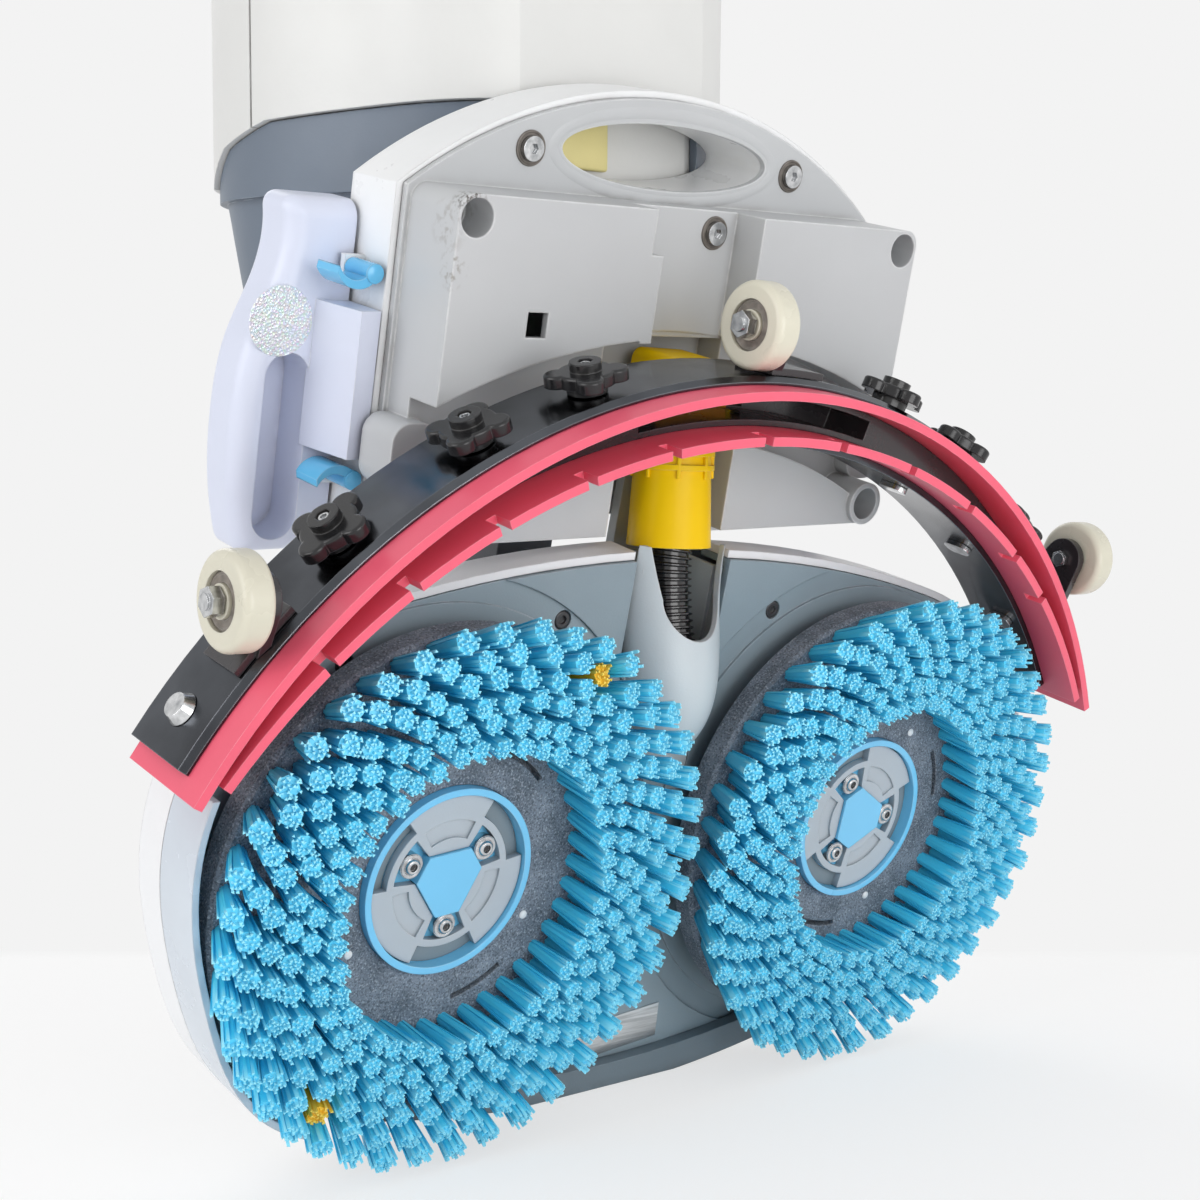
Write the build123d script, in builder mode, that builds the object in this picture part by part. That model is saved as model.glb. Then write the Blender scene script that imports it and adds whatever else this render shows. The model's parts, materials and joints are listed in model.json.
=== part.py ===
from build123d import *
from math import cos, sin, radians
import os

os.makedirs("parts", exist_ok=True)

# Parked stance: the deck stands on its front edge and leans back from the floor.
# Places on the deck are (across, rearward) on planes parallel to the brush face, and
# levels along the brush axes are positive toward the floor in use.
DECK_LEAN = 15.0
HUB_HEIGHT = 118.0
HUB_DEPTH = -82.3016
BODY_TURN = 2.0
COLUMN_LEAN = 12.0

# Clearances
GAP = 0.3
RUN = 0.05

# Brushes
HUB_SPACING = 238.0
RING_RADIUS = 39.3
RING_WIDTH = 2.9
FLOOR_LEVEL = -6.0
PLATE_RADIUS = 103.3
PLATE_FRONT = -4.0
PLATE_BACK = -16.0
TUFT_INNER = 64.0
TUFT_PITCH = 6.8
TUFT_RINGS = 6
TUFTS_PER_RING = 40
TUFT_STEP = 360 / TUFTS_PER_RING
TUFT_SECTORS = 8
TUFT_OUTER = TUFT_INNER + TUFT_PITCH * (TUFT_RINGS - 1)
TUFT_TIP = 22.0
TUFT_SPLAY = 12.5
SHAFT_RADIUS = 5.0

# Deck
DECK_REAR = 126.0
DECK_FRONT = 126.5
SHOULDER = (167.0, 104.0)
CHEEK = (207.0, 80.0)
SIDE = (226.0, 36.0)
FLANK = (216.0, -40.0)
NOSE = (158.0, -104.0)
FACE_LEVEL = -26.0
FACE_WALL = 4.0
RIM_LEVEL = -28.0
COVER_WALL = 3.5
COVER_BREAK = -45.0
COVER_KNEE = -82.0
COVER_TOP = -95.0
KNEE_TAPER = 25.0
COVER_TAPER = 43.0

# Squeegee arcs: two circles about different centres enclose the crescent body
ARC_CENTRE = -75.5
ARC_SHIFT = 25.5
ARC_RADIUS = 284.2
ARC_SPAN = 122.0
STRAP = 3.0
BLADE = 3.8
FIT = 0.2
LUNE_RADIUS = ARC_RADIUS - STRAP - BLADE - 2 * FIT
FRONT_RADIUS = 288.2
FRONT_SPAN = 110.0
BACK_LEVEL = -28.0
KNOB_LEVEL = -7.0
BLADE_EDGE = 22.0
CASTOR_RADIUS = 18.0
CASTOR_WIDTH = 12.5

# Body
FOLD_REAR = 70.0
FOLD_LEVEL = -120.0
PANEL_LEVEL = -72.6
PANEL_WALL = 3.0
ARCH_HALF = 129.0
ARCH_SPRING = 265.0
ARCH_PEAK = 308.5
BODY_FOOT = 130.0
BLOCK_HALF = 127.0
BLOCK_TOP = 266.5
BLOCK_FACE = -39.5
HOLD_HALF = 57.0
HOLD_RISE = 13.5
HOLD_REAR = 284.8
SHELL_BACK = -112.0
SHELL_WALL = 3.0

# Tank column
COLUMN_REAR = 246.8
COLUMN_LEVEL = -226.6
COLUMN_NEAR = 120.0
COLUMN_FAR = 84.4
COLUMN_FLAT = 50.0
COLUMN_SHOULDER = (97.0, -72.0)
COLUMN_BELLY = (113.0, 22.0)
CUP_FLOOR = -5.0
RIM_NEAR = 29.0
RIM_CURVE = ((-28.0, 22.5), (2.0, 13.0), (24.0, -3.0))
TANK_INSET = 4.4
TANK_OVER = 3.0
TANK_PARTING = -20.0
TANK_HEIGHT = 330.0
TUBE_RADIUS = 17.0
GRIP_HEIGHT = 783.0

lean = radians(DECK_LEAN)
turn = radians(BODY_TURN)
tip = radians(COLUMN_LEAN)
DOWN = Vector(0, -cos(lean), -sin(lean))
DECK = Plane(origin=(0, HUB_DEPTH, HUB_HEIGHT), x_dir=(1, 0, 0), z_dir=DOWN)
ARC = Plane(origin=DECK.from_local_coords((0, ARC_CENTRE, 0)), x_dir=DECK.x_dir, z_dir=DOWN)
FRONT_ARC = Plane(
    origin=DECK.from_local_coords((0, ARC_CENTRE - ARC_SHIFT, 0)), x_dir=DECK.x_dir, z_dir=DOWN
)
BODY = Plane(
    origin=DECK.from_local_coords((FOLD_REAR * sin(turn), FOLD_REAR * (1 - cos(turn)), 0)),
    x_dir=DECK.x_dir * cos(turn) + DECK.y_dir * sin(turn),
    z_dir=DOWN,
)
COLUMN = Plane(
    origin=BODY.from_local_coords((0, COLUMN_REAR, COLUMN_LEVEL)),
    x_dir=BODY.x_dir,
    z_dir=BODY.y_dir * cos(tip) - DOWN * sin(tip),
)
HUBS = {"left": -HUB_SPACING / 2, "right": HUB_SPACING / 2}
BACKWARD = Axis((0, 0, 0), -DOWN)


def keep(piece, name):
    """Label a finished piece and write it."""
    piece.label = name
    export_step(piece, f"parts/{name}.step")


def at(frame, across, rearward, level=0.0):
    """Plane parallel to a frame, moved within it."""
    return Plane(
        origin=frame.from_local_coords((across, rearward, level)),
        x_dir=frame.x_dir,
        z_dir=frame.z_dir,
    )


def side_plane(frame, across):
    """Plane square to the across direction; its sketch axes are rearward and level."""
    return Plane(
        origin=frame.from_local_coords((across, 0, 0)), x_dir=frame.y_dir, z_dir=frame.x_dir
    )


def outward(frame, angle, radius, level):
    """Plane facing away from the arc centre; the angle runs from rearward to the right."""
    a = radians(angle)
    return Plane(
        origin=frame.from_local_coords((radius * sin(a), radius * cos(a), level)),
        x_dir=DOWN,
        z_dir=frame.x_dir * sin(a) + frame.y_dir * cos(a),
    )


def sector(r_in, r_out, middle, span, mode=Mode.ADD):
    """Ring segment about the sketch origin."""
    with BuildLine() as ring:
        outer = CenterArc((0, 0), r_out, middle - span / 2, span)
        inner = CenterArc((0, 0), r_in, middle - span / 2, span)
        Line(outer @ 0, inner @ 0)
        Line(outer @ 1, inner @ 1)
    make_face(ring.edges(), mode=mode)


def moved(point, direction, inset):
    """Outline point moved inward along its outward direction."""
    a = radians(direction)
    return (point[0] - inset * cos(a), point[1] - inset * sin(a))


def deck_plan(inset=0.0, mode=Mode.ADD):
    """Plan of the deck: bowed rear and front edges joined by round sides."""
    right = [
        moved(SHOULDER, 72, inset),
        moved(CHEEK, 45, inset),
        moved(SIDE, 6, inset),
        moved(FLANK, -22, inset),
        moved(NOSE, -62, inset),
    ]
    left = [(-x, y) for x, y in reversed(right)]
    with BuildLine() as plan:
        rear = ThreePointArc(left[-1], (0, DECK_REAR - inset), right[0])
        front = ThreePointArc(right[-1], (0, inset - DECK_FRONT), left[0])
        side = Spline(*left, tangents=(front % 1, rear % 0))
        mirror(side, about=Plane.YZ)
    make_face(plan.edges(), mode=mode)


def arch_plan(grow=0.0, foot=BODY_FOOT, mode=Mode.ADD):
    """Outline of the body seen from the rear: straight sides under a low arch."""
    half = ARCH_HALF + grow
    with BuildLine() as arch:
        Polyline((-half, ARCH_SPRING), (-half, foot), (half, foot), (half, ARCH_SPRING))
        ThreePointArc((half, ARCH_SPRING), (0, ARCH_PEAK + grow), (-half, ARCH_SPRING))
    make_face(arch.edges(), mode=mode)


def egg(inset=0.0, mode=Mode.ADD):
    """Plan of the tank column: flat toward the rear panel and round at the far side."""
    with BuildLine() as plan:
        flat = COLUMN_FLAT - 0.5 * inset
        near = inset - COLUMN_NEAR
        Line((0, near), (flat, near))
        Spline(
            (flat, near),
            (COLUMN_SHOULDER[0] - inset, COLUMN_SHOULDER[1] + 0.3 * inset),
            (COLUMN_BELLY[0] - inset, COLUMN_BELLY[1]),
            (0.62 * (COLUMN_BELLY[0] - inset), 0.8 * (COLUMN_FAR - inset)),
            (0, COLUMN_FAR - inset),
            tangents=((1, 0.35), (-1, 0)),
        )
        mirror(about=Plane.YZ)
    make_face(plan.edges(), mode=mode)


def in_body(across, depth, height):
    """Place on the column given as (rearward, level) on the body."""
    place = BODY.to_local_coords(COLUMN.from_local_coords((across, depth, height)))
    return (place.Y, place.Z)


# White top cover: a straight rim, then sides that slope in to a flat top
def cover_form(inset):
    with BuildPart() as form:
        with BuildSketch(DECK.offset(RIM_LEVEL)):
            deck_plan(inset)
        extrude(amount=COVER_BREAK - RIM_LEVEL)
        for level, taper in ((COVER_BREAK, 0), (COVER_KNEE, KNEE_TAPER), (COVER_TOP, COVER_TAPER)):
            with BuildSketch(DECK.offset(level + inset * taper / COVER_TAPER)):
                deck_plan(inset + taper)
        loft()
    return form.part


SIDE_BAND = 3.2
SKIRT_PLACES = ((-200, -30), (200, -30))
SKIRT_SIZE = (100, 148)
with BuildPart() as top_cover:
    add(cover_form(0))
    for place in SKIRT_PLACES:
        with BuildSketch(DECK.offset(RIM_LEVEL)):
            deck_plan(-SIDE_BAND)
            deck_plan(1, mode=Mode.SUBTRACT)
            with Locations(place):
                Rectangle(*SKIRT_SIZE, mode=Mode.INTERSECT)
        extrude(amount=COVER_BREAK - RIM_LEVEL)
    add(cover_form(COVER_WALL), mode=Mode.SUBTRACT)
    with BuildSketch(DECK.offset(RIM_LEVEL)):
        with Locations((0, DECK_REAR)):
            Rectangle(54, 60)
    extrude(amount=-44, mode=Mode.SUBTRACT)
keep(top_cover.part, "top_cover")

# Underside plate with its stiffening wall, counterbores and the swing pin boss
with BuildPart() as deck_shell:
    with BuildSketch(DECK.offset(FACE_LEVEL)):
        deck_plan(COVER_WALL + GAP)
    extrude(amount=-FACE_WALL)
    with BuildSketch(DECK.offset(FACE_LEVEL - FACE_WALL)):
        deck_plan(COVER_WALL + GAP)
        deck_plan(COVER_WALL + 3.3, mode=Mode.SUBTRACT)
    extrude(amount=COVER_BREAK - FACE_LEVEL + FACE_WALL)
    for hub in HUBS.values():
        with BuildSketch(at(DECK, hub, 0, FACE_LEVEL)):
            Circle(118)
            Circle(107, mode=Mode.SUBTRACT)
        extrude(amount=-1.5, mode=Mode.SUBTRACT)
        with BuildSketch(at(DECK, hub, 0, FACE_LEVEL)):
            Circle(14)
        extrude(amount=-FACE_WALL, mode=Mode.SUBTRACT)
    with BuildSketch(DECK.offset(FACE_LEVEL)):
        with Locations((61, 97), (-61, 97), (165, 84), (-165, 84)):
            Circle(4.3)
    extrude(amount=-3.4, mode=Mode.SUBTRACT)
    with BuildSketch(DECK.offset(FACE_LEVEL)):
        with Locations((0, 90)):
            Rectangle(47, 136.6)
        with Locations((0, 116)):
            Rectangle(54, 84)
    extrude(amount=-24, mode=Mode.SUBTRACT)
    with BuildSketch(DECK.offset(FACE_LEVEL)):
        Circle(13)
    extrude(amount=-38)
    with BuildSketch(DECK.offset(FACE_LEVEL - 38)):
        Circle(6)
    extrude(amount=-9)
keep(deck_shell.part, "deck_shell")

# Hose scoop: a closed trough sunk in the deck with a swelling hood over its lower end
HOOD = ((128, 25, 18), (92, 25, 8), (58, 18, 2), (40, 8, 10))
HOOD_SEAT = 29.0
TROUGH_HALF = 23.0
TROUGH_FOOT = 22.0
TROUGH_HEAD = 118.0
TROUGH_FLOOR = -58.0
PORT_REAR = 66.0


def hood_form(wall, seat):
    """Hood through arched sections; a wall thins it for the hollow."""
    with BuildPart() as form:
        for rearward, half, crown in HOOD:
            reach = rearward + (4 if rearward == HOOD[0][0] else 0) * (wall > 0)
            station = Plane(
                origin=DECK.from_local_coords((0, reach + (wall if rearward < 45 else 0), 0)),
                x_dir=DECK.x_dir,
                z_dir=DECK.y_dir,
            )
            with BuildSketch(station):
                with BuildLine():
                    ThreePointArc((wall - half, seat), (0, crown + wall), (half - wall, seat))
                    Line((half - wall, seat), (wall - half, seat))
                make_face()
        loft()
    return form.part


with BuildPart() as hose_channel:
    with BuildSketch(DECK.offset(-HOOD_SEAT + 3)):
        with Locations((0, (TROUGH_HEAD + TROUGH_FOOT) / 2)):
            Rectangle(2 * TROUGH_HALF, TROUGH_HEAD - TROUGH_FOOT)
    extrude(amount=TROUGH_FLOOR + HOOD_SEAT - 3)
    with BuildSketch(DECK.offset(-HOOD_SEAT)):
        with Locations((0, (TROUGH_HEAD + TROUGH_FOOT) / 2 + 1.5)):
            Rectangle(2 * TROUGH_HALF - 5, TROUGH_HEAD - TROUGH_FOOT)
    extrude(amount=TROUGH_FLOOR + HOOD_SEAT + 3, mode=Mode.SUBTRACT)
    add(hood_form(0, HOOD_SEAT))
    add(hood_form(2.5, HOOD_SEAT + 0.5), mode=Mode.SUBTRACT)
    with BuildSketch(DECK):
        with Locations((0, 107)):
            Circle(16)
        with BuildLine():
            Polyline((-16, 107), (16, 107), (24, 140), (-24, 140), close=True)
        make_face()
    extrude(amount=-HOOD_SEAT - 1, mode=Mode.SUBTRACT)
    with BuildSketch(DECK.offset(TROUGH_FLOOR)):
        with Locations((0, PORT_REAR)):
            Circle(8)
    extrude(amount=4, mode=Mode.SUBTRACT)
keep(hose_channel.part, "hose_channel")

# Splash skirts outside the brushes
SKIRT_FRONT = -3.0
with BuildPart() as side_skirts:
    for place in SKIRT_PLACES:
        with BuildSketch(DECK.offset(SKIRT_FRONT)):
            deck_plan(-SIDE_BAND)
            deck_plan(-0.4, mode=Mode.SUBTRACT)
            with Locations(place):
                Rectangle(*SKIRT_SIZE, mode=Mode.INTERSECT)
        extrude(amount=RIM_LEVEL + GAP - SKIRT_FRONT)
keep(side_skirts.part, "side_skirts")

# Front bumper: a lip under the front edge that also wraps the cover; flat on the floor
with BuildPart() as front_bumper:
    with BuildSketch(DECK.offset(-20)):
        deck_plan(-3)
        deck_plan(11, mode=Mode.SUBTRACT)
        with Locations((0, -DECK_FRONT)):
            Rectangle(244, 60, mode=Mode.INTERSECT)
    extrude(amount=FACE_LEVEL + GAP + 20)
    with BuildSketch(DECK.offset(FACE_LEVEL + GAP)):
        deck_plan(-3)
        deck_plan(-0.4, mode=Mode.SUBTRACT)
        with Locations((0, -DECK_FRONT)):
            Rectangle(244, 60, mode=Mode.INTERSECT)
    extrude(amount=COVER_BREAK - FACE_LEVEL - GAP)
    split(bisect_by=Plane.XY, keep=Keep.TOP)
keep(front_bumper.part, "front_bumper")

# Brush drive motors under the cover
with BuildPart() as brush_motors:
    for hub in HUBS.values():
        with BuildSketch(at(DECK, hub, 0, FACE_LEVEL - FACE_WALL)):
            Circle(40)
        extrude(amount=COVER_TOP + COVER_WALL + 3 - FACE_LEVEL + FACE_WALL)
        with BuildSketch(at(DECK, hub, 0, FACE_LEVEL - FACE_WALL)):
            Circle(SHAFT_RADIUS + RUN)
        extrude(amount=-30, mode=Mode.SUBTRACT)
keep(brush_motors.part, "brush_motors")

# Yoke ears on the deck for the fold axis
EAR_IN = 24.0
EAR_OUT = 36.0
with BuildPart() as fold_yoke:
    for side in (-1, 1):
        with BuildSketch(side_plane(DECK, side * EAR_IN)) as ear:
            with BuildLine():
                Polyline((44, COVER_TOP), (80, COVER_TOP), (80, -100), (44, -100), close=True)
            make_face()
            with Locations((FOLD_REAR, FOLD_LEVEL)):
                Circle(14)
            make_hull()
            with Locations((FOLD_REAR, FOLD_LEVEL)):
                Circle(8 + RUN, mode=Mode.SUBTRACT)
        extrude(amount=side * (EAR_OUT - EAR_IN))
        with BuildSketch(side_plane(DECK, side * EAR_OUT)):
            with Locations((62, COVER_TOP - 2)):
                Rectangle(36, 4)
        extrude(amount=side * 16)
keep(fold_yoke.part, "fold_yoke")

# Transport wheels at the front edge of the deck and the fork that carries them
TRANSPORT_RADIUS = 30.0
AXLE = DECK.to_local_coords(Vector(0, HUB_DEPTH + 150, TRANSPORT_RADIUS))
with BuildPart() as wheel_fork:
    for side in (-1, 1):
        with BuildSketch(side_plane(DECK, side * 58)):
            with BuildLine():
                Polyline((-40, COVER_TOP), (-80, COVER_TOP), (-80, -106), (-40, -106), close=True)
            make_face()
            with Locations((AXLE.Y, AXLE.Z)):
                Circle(11)
            make_hull()
            with Locations((AXLE.Y, AXLE.Z)):
                Circle(SHAFT_RADIUS + RUN, mode=Mode.SUBTRACT)
        extrude(amount=side * 10)
keep(wheel_fork.part, "wheel_fork")

with BuildPart() as transport_wheels:
    with BuildSketch(side_plane(DECK, -97)):
        with Locations((AXLE.Y, AXLE.Z)):
            Circle(SHAFT_RADIUS)
    extrude(amount=194)
    for side in (-1, 1):
        with BuildSketch(side_plane(DECK, side * 73)):
            with Locations((AXLE.Y, AXLE.Z)):
                Circle(TRANSPORT_RADIUS)
        extrude(amount=side * 24)
    fillet(transport_wheels.edges().filter_by(GeomType.CIRCLE).sort_by(SortBy.RADIUS)[-4:], 4)
keep(transport_wheels.part, "transport_wheels")

# Swivel block: trunnions on the fold axis and a pin for the body to turn on
BLOCK_RADIUS = 14.0
SWIVEL_RADIUS = 9.0
with BuildPart() as swivel_block:
    with BuildSketch(side_plane(DECK, GAP - EAR_IN)):
        with Locations((FOLD_REAR, FOLD_LEVEL)):
            Circle(BLOCK_RADIUS)
    extrude(amount=2 * (EAR_IN - GAP))
    with BuildSketch(side_plane(DECK, -EAR_OUT - 1)):
        with Locations((FOLD_REAR, FOLD_LEVEL)):
            Circle(8)
    extrude(amount=2 * EAR_OUT + 2)
    with BuildSketch(at(DECK, 0, FOLD_REAR, FOLD_LEVEL)):
        Circle(SWIVEL_RADIUS)
    extrude(amount=-44)
keep(swivel_block.part, "swivel_block")


# One brush: drive coupling, lock, screws, plate and tufts
LUG_RADIUS = 36.0
LOCK_RADIUS = 28.5
LOCK_LEVEL = -2.2
SCREW_CIRCLE = 20.0
PIN_CIRCLE = 48.6
BOSS_FACE = 14.5
BOSS_RADIUS = 15.6


def boss_outline(phase, grow=0.0, mode=Mode.ADD):
    """Three-cornered boss with cut corners toward the screws."""
    corners = []
    for k in range(3):
        for swing in (-21, 21):
            a = radians(phase + 120 * k + swing)
            corners.append(((BOSS_RADIUS + grow) * cos(a), (BOSS_RADIUS + grow) * sin(a)))
    with BuildLine() as outline:
        Polyline(*corners, close=True)
    make_face(outline.edges(), mode=mode)


def tuft(hub, radius, angle, ring):
    """One tuft as a four-sided strand that leans outward."""
    splay = TUFT_SPLAY * ring / (TUFT_RINGS - 1)
    ends = []
    for level, reach, half in ((PLATE_FRONT + 0.5, radius, 2.5), (TUFT_TIP, radius + splay, 3.4)):
        a = radians(angle)
        foot = Plane(
            origin=hub.from_local_coords((reach * cos(a), reach * sin(a), level)),
            x_dir=hub.x_dir * cos(a) + hub.y_dir * sin(a),
            z_dir=DOWN,
        )
        corners = ((-half, -half), (half, -half), (half, half), (-half, half))
        ends.append(Wire.make_polygon([foot.from_local_coords(c) for c in corners]))
    return Solid.make_loft(ends, ruled=True)


def brush(name, across, phase):
    hub = at(DECK, across, 0)
    with BuildPart() as coupling:
        with BuildSketch(hub.offset(PLATE_BACK)):
            Circle(RING_RADIUS)
        extrude(amount=-PLATE_BACK)
        with BuildSketch(hub):
            Circle(RING_RADIUS - RING_WIDTH)
        extrude(amount=FLOOR_LEVEL, mode=Mode.SUBTRACT)
        with BuildSketch(hub.offset(FLOOR_LEVEL)):
            boss_outline(phase)
        extrude(amount=-FLOOR_LEVEL - 0.8)
        with BuildSketch(hub.offset(FLOOR_LEVEL)):
            with PolarLocations(SCREW_CIRCLE, 3, start_angle=phase):
                Circle(2.6)
        extrude(amount=-6, mode=Mode.SUBTRACT)
        with BuildSketch(hub.offset(PLATE_BACK)):
            Circle(SHAFT_RADIUS)
        extrude(amount=-40)
    keep(coupling.part, f"brush_coupling_{name}")

    with BuildPart() as lock:
        with BuildSketch(hub.offset(FLOOR_LEVEL + FIT)):
            Circle(LOCK_RADIUS)
            for k in range(3):
                sector(LOCK_RADIUS - 1, LUG_RADIUS, phase + 60 + 120 * k, 68)
            for k in range(3):
                sector(9, LOCK_RADIUS - 3, phase + 120 * k, 46, mode=Mode.SUBTRACT)
            boss_outline(phase, GAP, mode=Mode.SUBTRACT)
        extrude(amount=LOCK_LEVEL - FLOOR_LEVEL - FIT)
        with BuildSketch(hub.offset(LOCK_LEVEL)):
            for k in range(3):
                sector(18, LOCK_RADIUS - 3, phase + 60 + 120 * k, 56)
        extrude(amount=-1.2, mode=Mode.SUBTRACT)
    keep(lock.part, f"hub_lock_{name}")

    with BuildPart() as screws:
        with BuildSketch(hub.offset(FLOOR_LEVEL)):
            with PolarLocations(SCREW_CIRCLE, 3, start_angle=phase):
                Circle(2.4)
        extrude(amount=-5)
        with BuildSketch(hub.offset(FLOOR_LEVEL)):
            with PolarLocations(SCREW_CIRCLE, 3, start_angle=phase):
                Circle(5.2)
        extrude(amount=3.8)
        with BuildSketch(hub.offset(FLOOR_LEVEL + 3.8)):
            with PolarLocations(SCREW_CIRCLE, 3, start_angle=phase):
                RegularPolygon(2.1, 6)
        extrude(amount=-2, mode=Mode.SUBTRACT)
    keep(screws.part, f"hub_screws_{name}")

    with BuildPart() as plate:
        with BuildSketch(hub.offset(PLATE_BACK)):
            Circle(PLATE_RADIUS)
            Circle(RING_RADIUS + FIT, mode=Mode.SUBTRACT)
        extrude(amount=PLATE_FRONT - PLATE_BACK)
        chamfer(plate.edges().filter_by(GeomType.CIRCLE).sort_by(SortBy.RADIUS)[-2:], 1.5)
        with BuildSketch(hub.offset(PLATE_FRONT)):
            with PolarLocations(PIN_CIRCLE, 3, start_angle=phase + 57):
                Circle(1.6)
            for k in range(3):
                sector(54, 56.5, phase + 20 + 120 * k, 26)
        extrude(amount=-6, mode=Mode.SUBTRACT)
    keep(plate.part, f"brush_plate_{name}")

    with BuildPart() as bristles:
        for part_ring in range(TUFT_SECTORS):
            first = part_ring * TUFTS_PER_RING // TUFT_SECTORS
            strands = []
            for ring in range(TUFT_RINGS):
                radius = TUFT_INNER + TUFT_PITCH * ring
                for k in range(first, first + TUFTS_PER_RING // TUFT_SECTORS):
                    angle = TUFT_STEP * (k + 0.5 * (ring % 2))
                    strands.append(tuft(hub, radius, angle, ring))
            middle = TUFT_STEP * (first - 0.25) + 180 / TUFT_SECTORS
            with BuildPart(mode=Mode.PRIVATE) as strip:
                with BuildSketch(hub.offset(PLATE_FRONT)):
                    sector(TUFT_INNER - 4.5, TUFT_OUTER + 4, middle, 360 / TUFT_SECTORS - 0.6)
                extrude(amount=1)
                add(strands)
            add(strip.part)
    keep(bristles.part, f"bristles_{name}")


brush("left", HUBS["left"], 36)
brush("right", HUBS["right"], -2)

# Squeegee body: the crescent between two arcs, with the suction slot in its front
KNOB_ANGLES = (-41.3, -28.5, -17.5, 17.5, 28.5, 41.3)
BLOCK_SEAT = BACK_LEVEL - GAP


def lune(wall, half_span, mode=Mode.ADD):
    """Crescent between the rear and front arcs, walls taken off both sides."""
    with BuildSketch(mode=Mode.PRIVATE) as crescent:
        Circle(LUNE_RADIUS - wall)
        with Locations((0, -ARC_SHIFT)):
            Circle(FRONT_RADIUS + wall, mode=Mode.SUBTRACT)
        sector(120, LUNE_RADIUS + 20, 90, 2 * half_span, mode=Mode.INTERSECT)
    add(crescent.sketch, mode=mode)


with BuildPart() as squeegee_body:
    with BuildSketch(ARC.offset(BLOCK_SEAT)):
        lune(0, ARC_SPAN / 2 - 0.5)
    extrude(amount=2 - BLOCK_SEAT)
    with BuildSketch(ARC.offset(2)):
        lune(2.5, 14)
    extrude(amount=-24, mode=Mode.SUBTRACT)
    with BuildSketch(ARC.offset(2)):
        lune(3.5, 2.6)
    extrude(amount=BLOCK_SEAT - 2, mode=Mode.SUBTRACT)
    for angle in KNOB_ANGLES:
        with BuildSketch(outward(ARC, angle, ARC_RADIUS + 2, KNOB_LEVEL)):
            Circle(3 + RUN)
        extrude(amount=-14, mode=Mode.SUBTRACT)
keep(squeegee_body.part, "squeegee_body")

with BuildPart() as rear_strap:
    with BuildSketch(ARC.offset(BACK_LEVEL)):
        sector(ARC_RADIUS - STRAP, ARC_RADIUS, 90, ARC_SPAN)
    extrude(amount=10 - BACK_LEVEL)
    chamfer(
        rear_strap.edges().filter_by(GeomType.CIRCLE).sort_by(SortBy.RADIUS)[-2:]
        .sort_by(BACKWARD)[0], length=2.6, length2=2.0,
    )
    for angle in KNOB_ANGLES:
        with BuildSketch(outward(ARC, angle, ARC_RADIUS + 2, KNOB_LEVEL)):
            Circle(3 + RUN)
        extrude(amount=-14, mode=Mode.SUBTRACT)
keep(rear_strap.part, "rear_strap")

with BuildPart() as rear_blade:
    with BuildSketch(ARC.offset(BACK_LEVEL + 2)):
        sector(LUNE_RADIUS + FIT, LUNE_RADIUS + FIT + BLADE, 90, ARC_SPAN + 3)
    extrude(amount=BLADE_EDGE - BACK_LEVEL - 2)
    for angle in KNOB_ANGLES:
        with BuildSketch(outward(ARC, angle, ARC_RADIUS + 2, KNOB_LEVEL)):
            Circle(3 + RUN)
        extrude(amount=-14, mode=Mode.SUBTRACT)
keep(rear_blade.part, "rear_blade")

# Notched front blade and its clamp strap on the second arc
NOTCHES = (-45, -36.9, -28.6, -20.4, -12.2, -2.5, 6.3, 15.7, 25.2, 34.6, 41.4)
with BuildPart() as front_blade:
    with BuildSketch(FRONT_ARC.offset(BACK_LEVEL + 2)):
        sector(FRONT_RADIUS - FIT - BLADE, FRONT_RADIUS - FIT, 90, FRONT_SPAN + 2)
    extrude(amount=BLADE_EDGE - BACK_LEVEL - 2)
    with BuildSketch(FRONT_ARC.offset(BLADE_EDGE)):
        for angle in NOTCHES:
            sector(FRONT_RADIUS - 8, FRONT_RADIUS + 4, 90 - angle, 0.9)
    extrude(amount=-9, mode=Mode.SUBTRACT)
keep(front_blade.part, "front_blade")

FRONT_STRAP_OUT = FRONT_RADIUS - BLADE - 2 * FIT
with BuildPart() as front_strap:
    with BuildSketch(FRONT_ARC.offset(BACK_LEVEL)):
        sector(FRONT_STRAP_OUT - STRAP, FRONT_STRAP_OUT, 90, FRONT_SPAN)
    extrude(amount=4 - BACK_LEVEL)
keep(front_strap.part, "front_strap")

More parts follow.
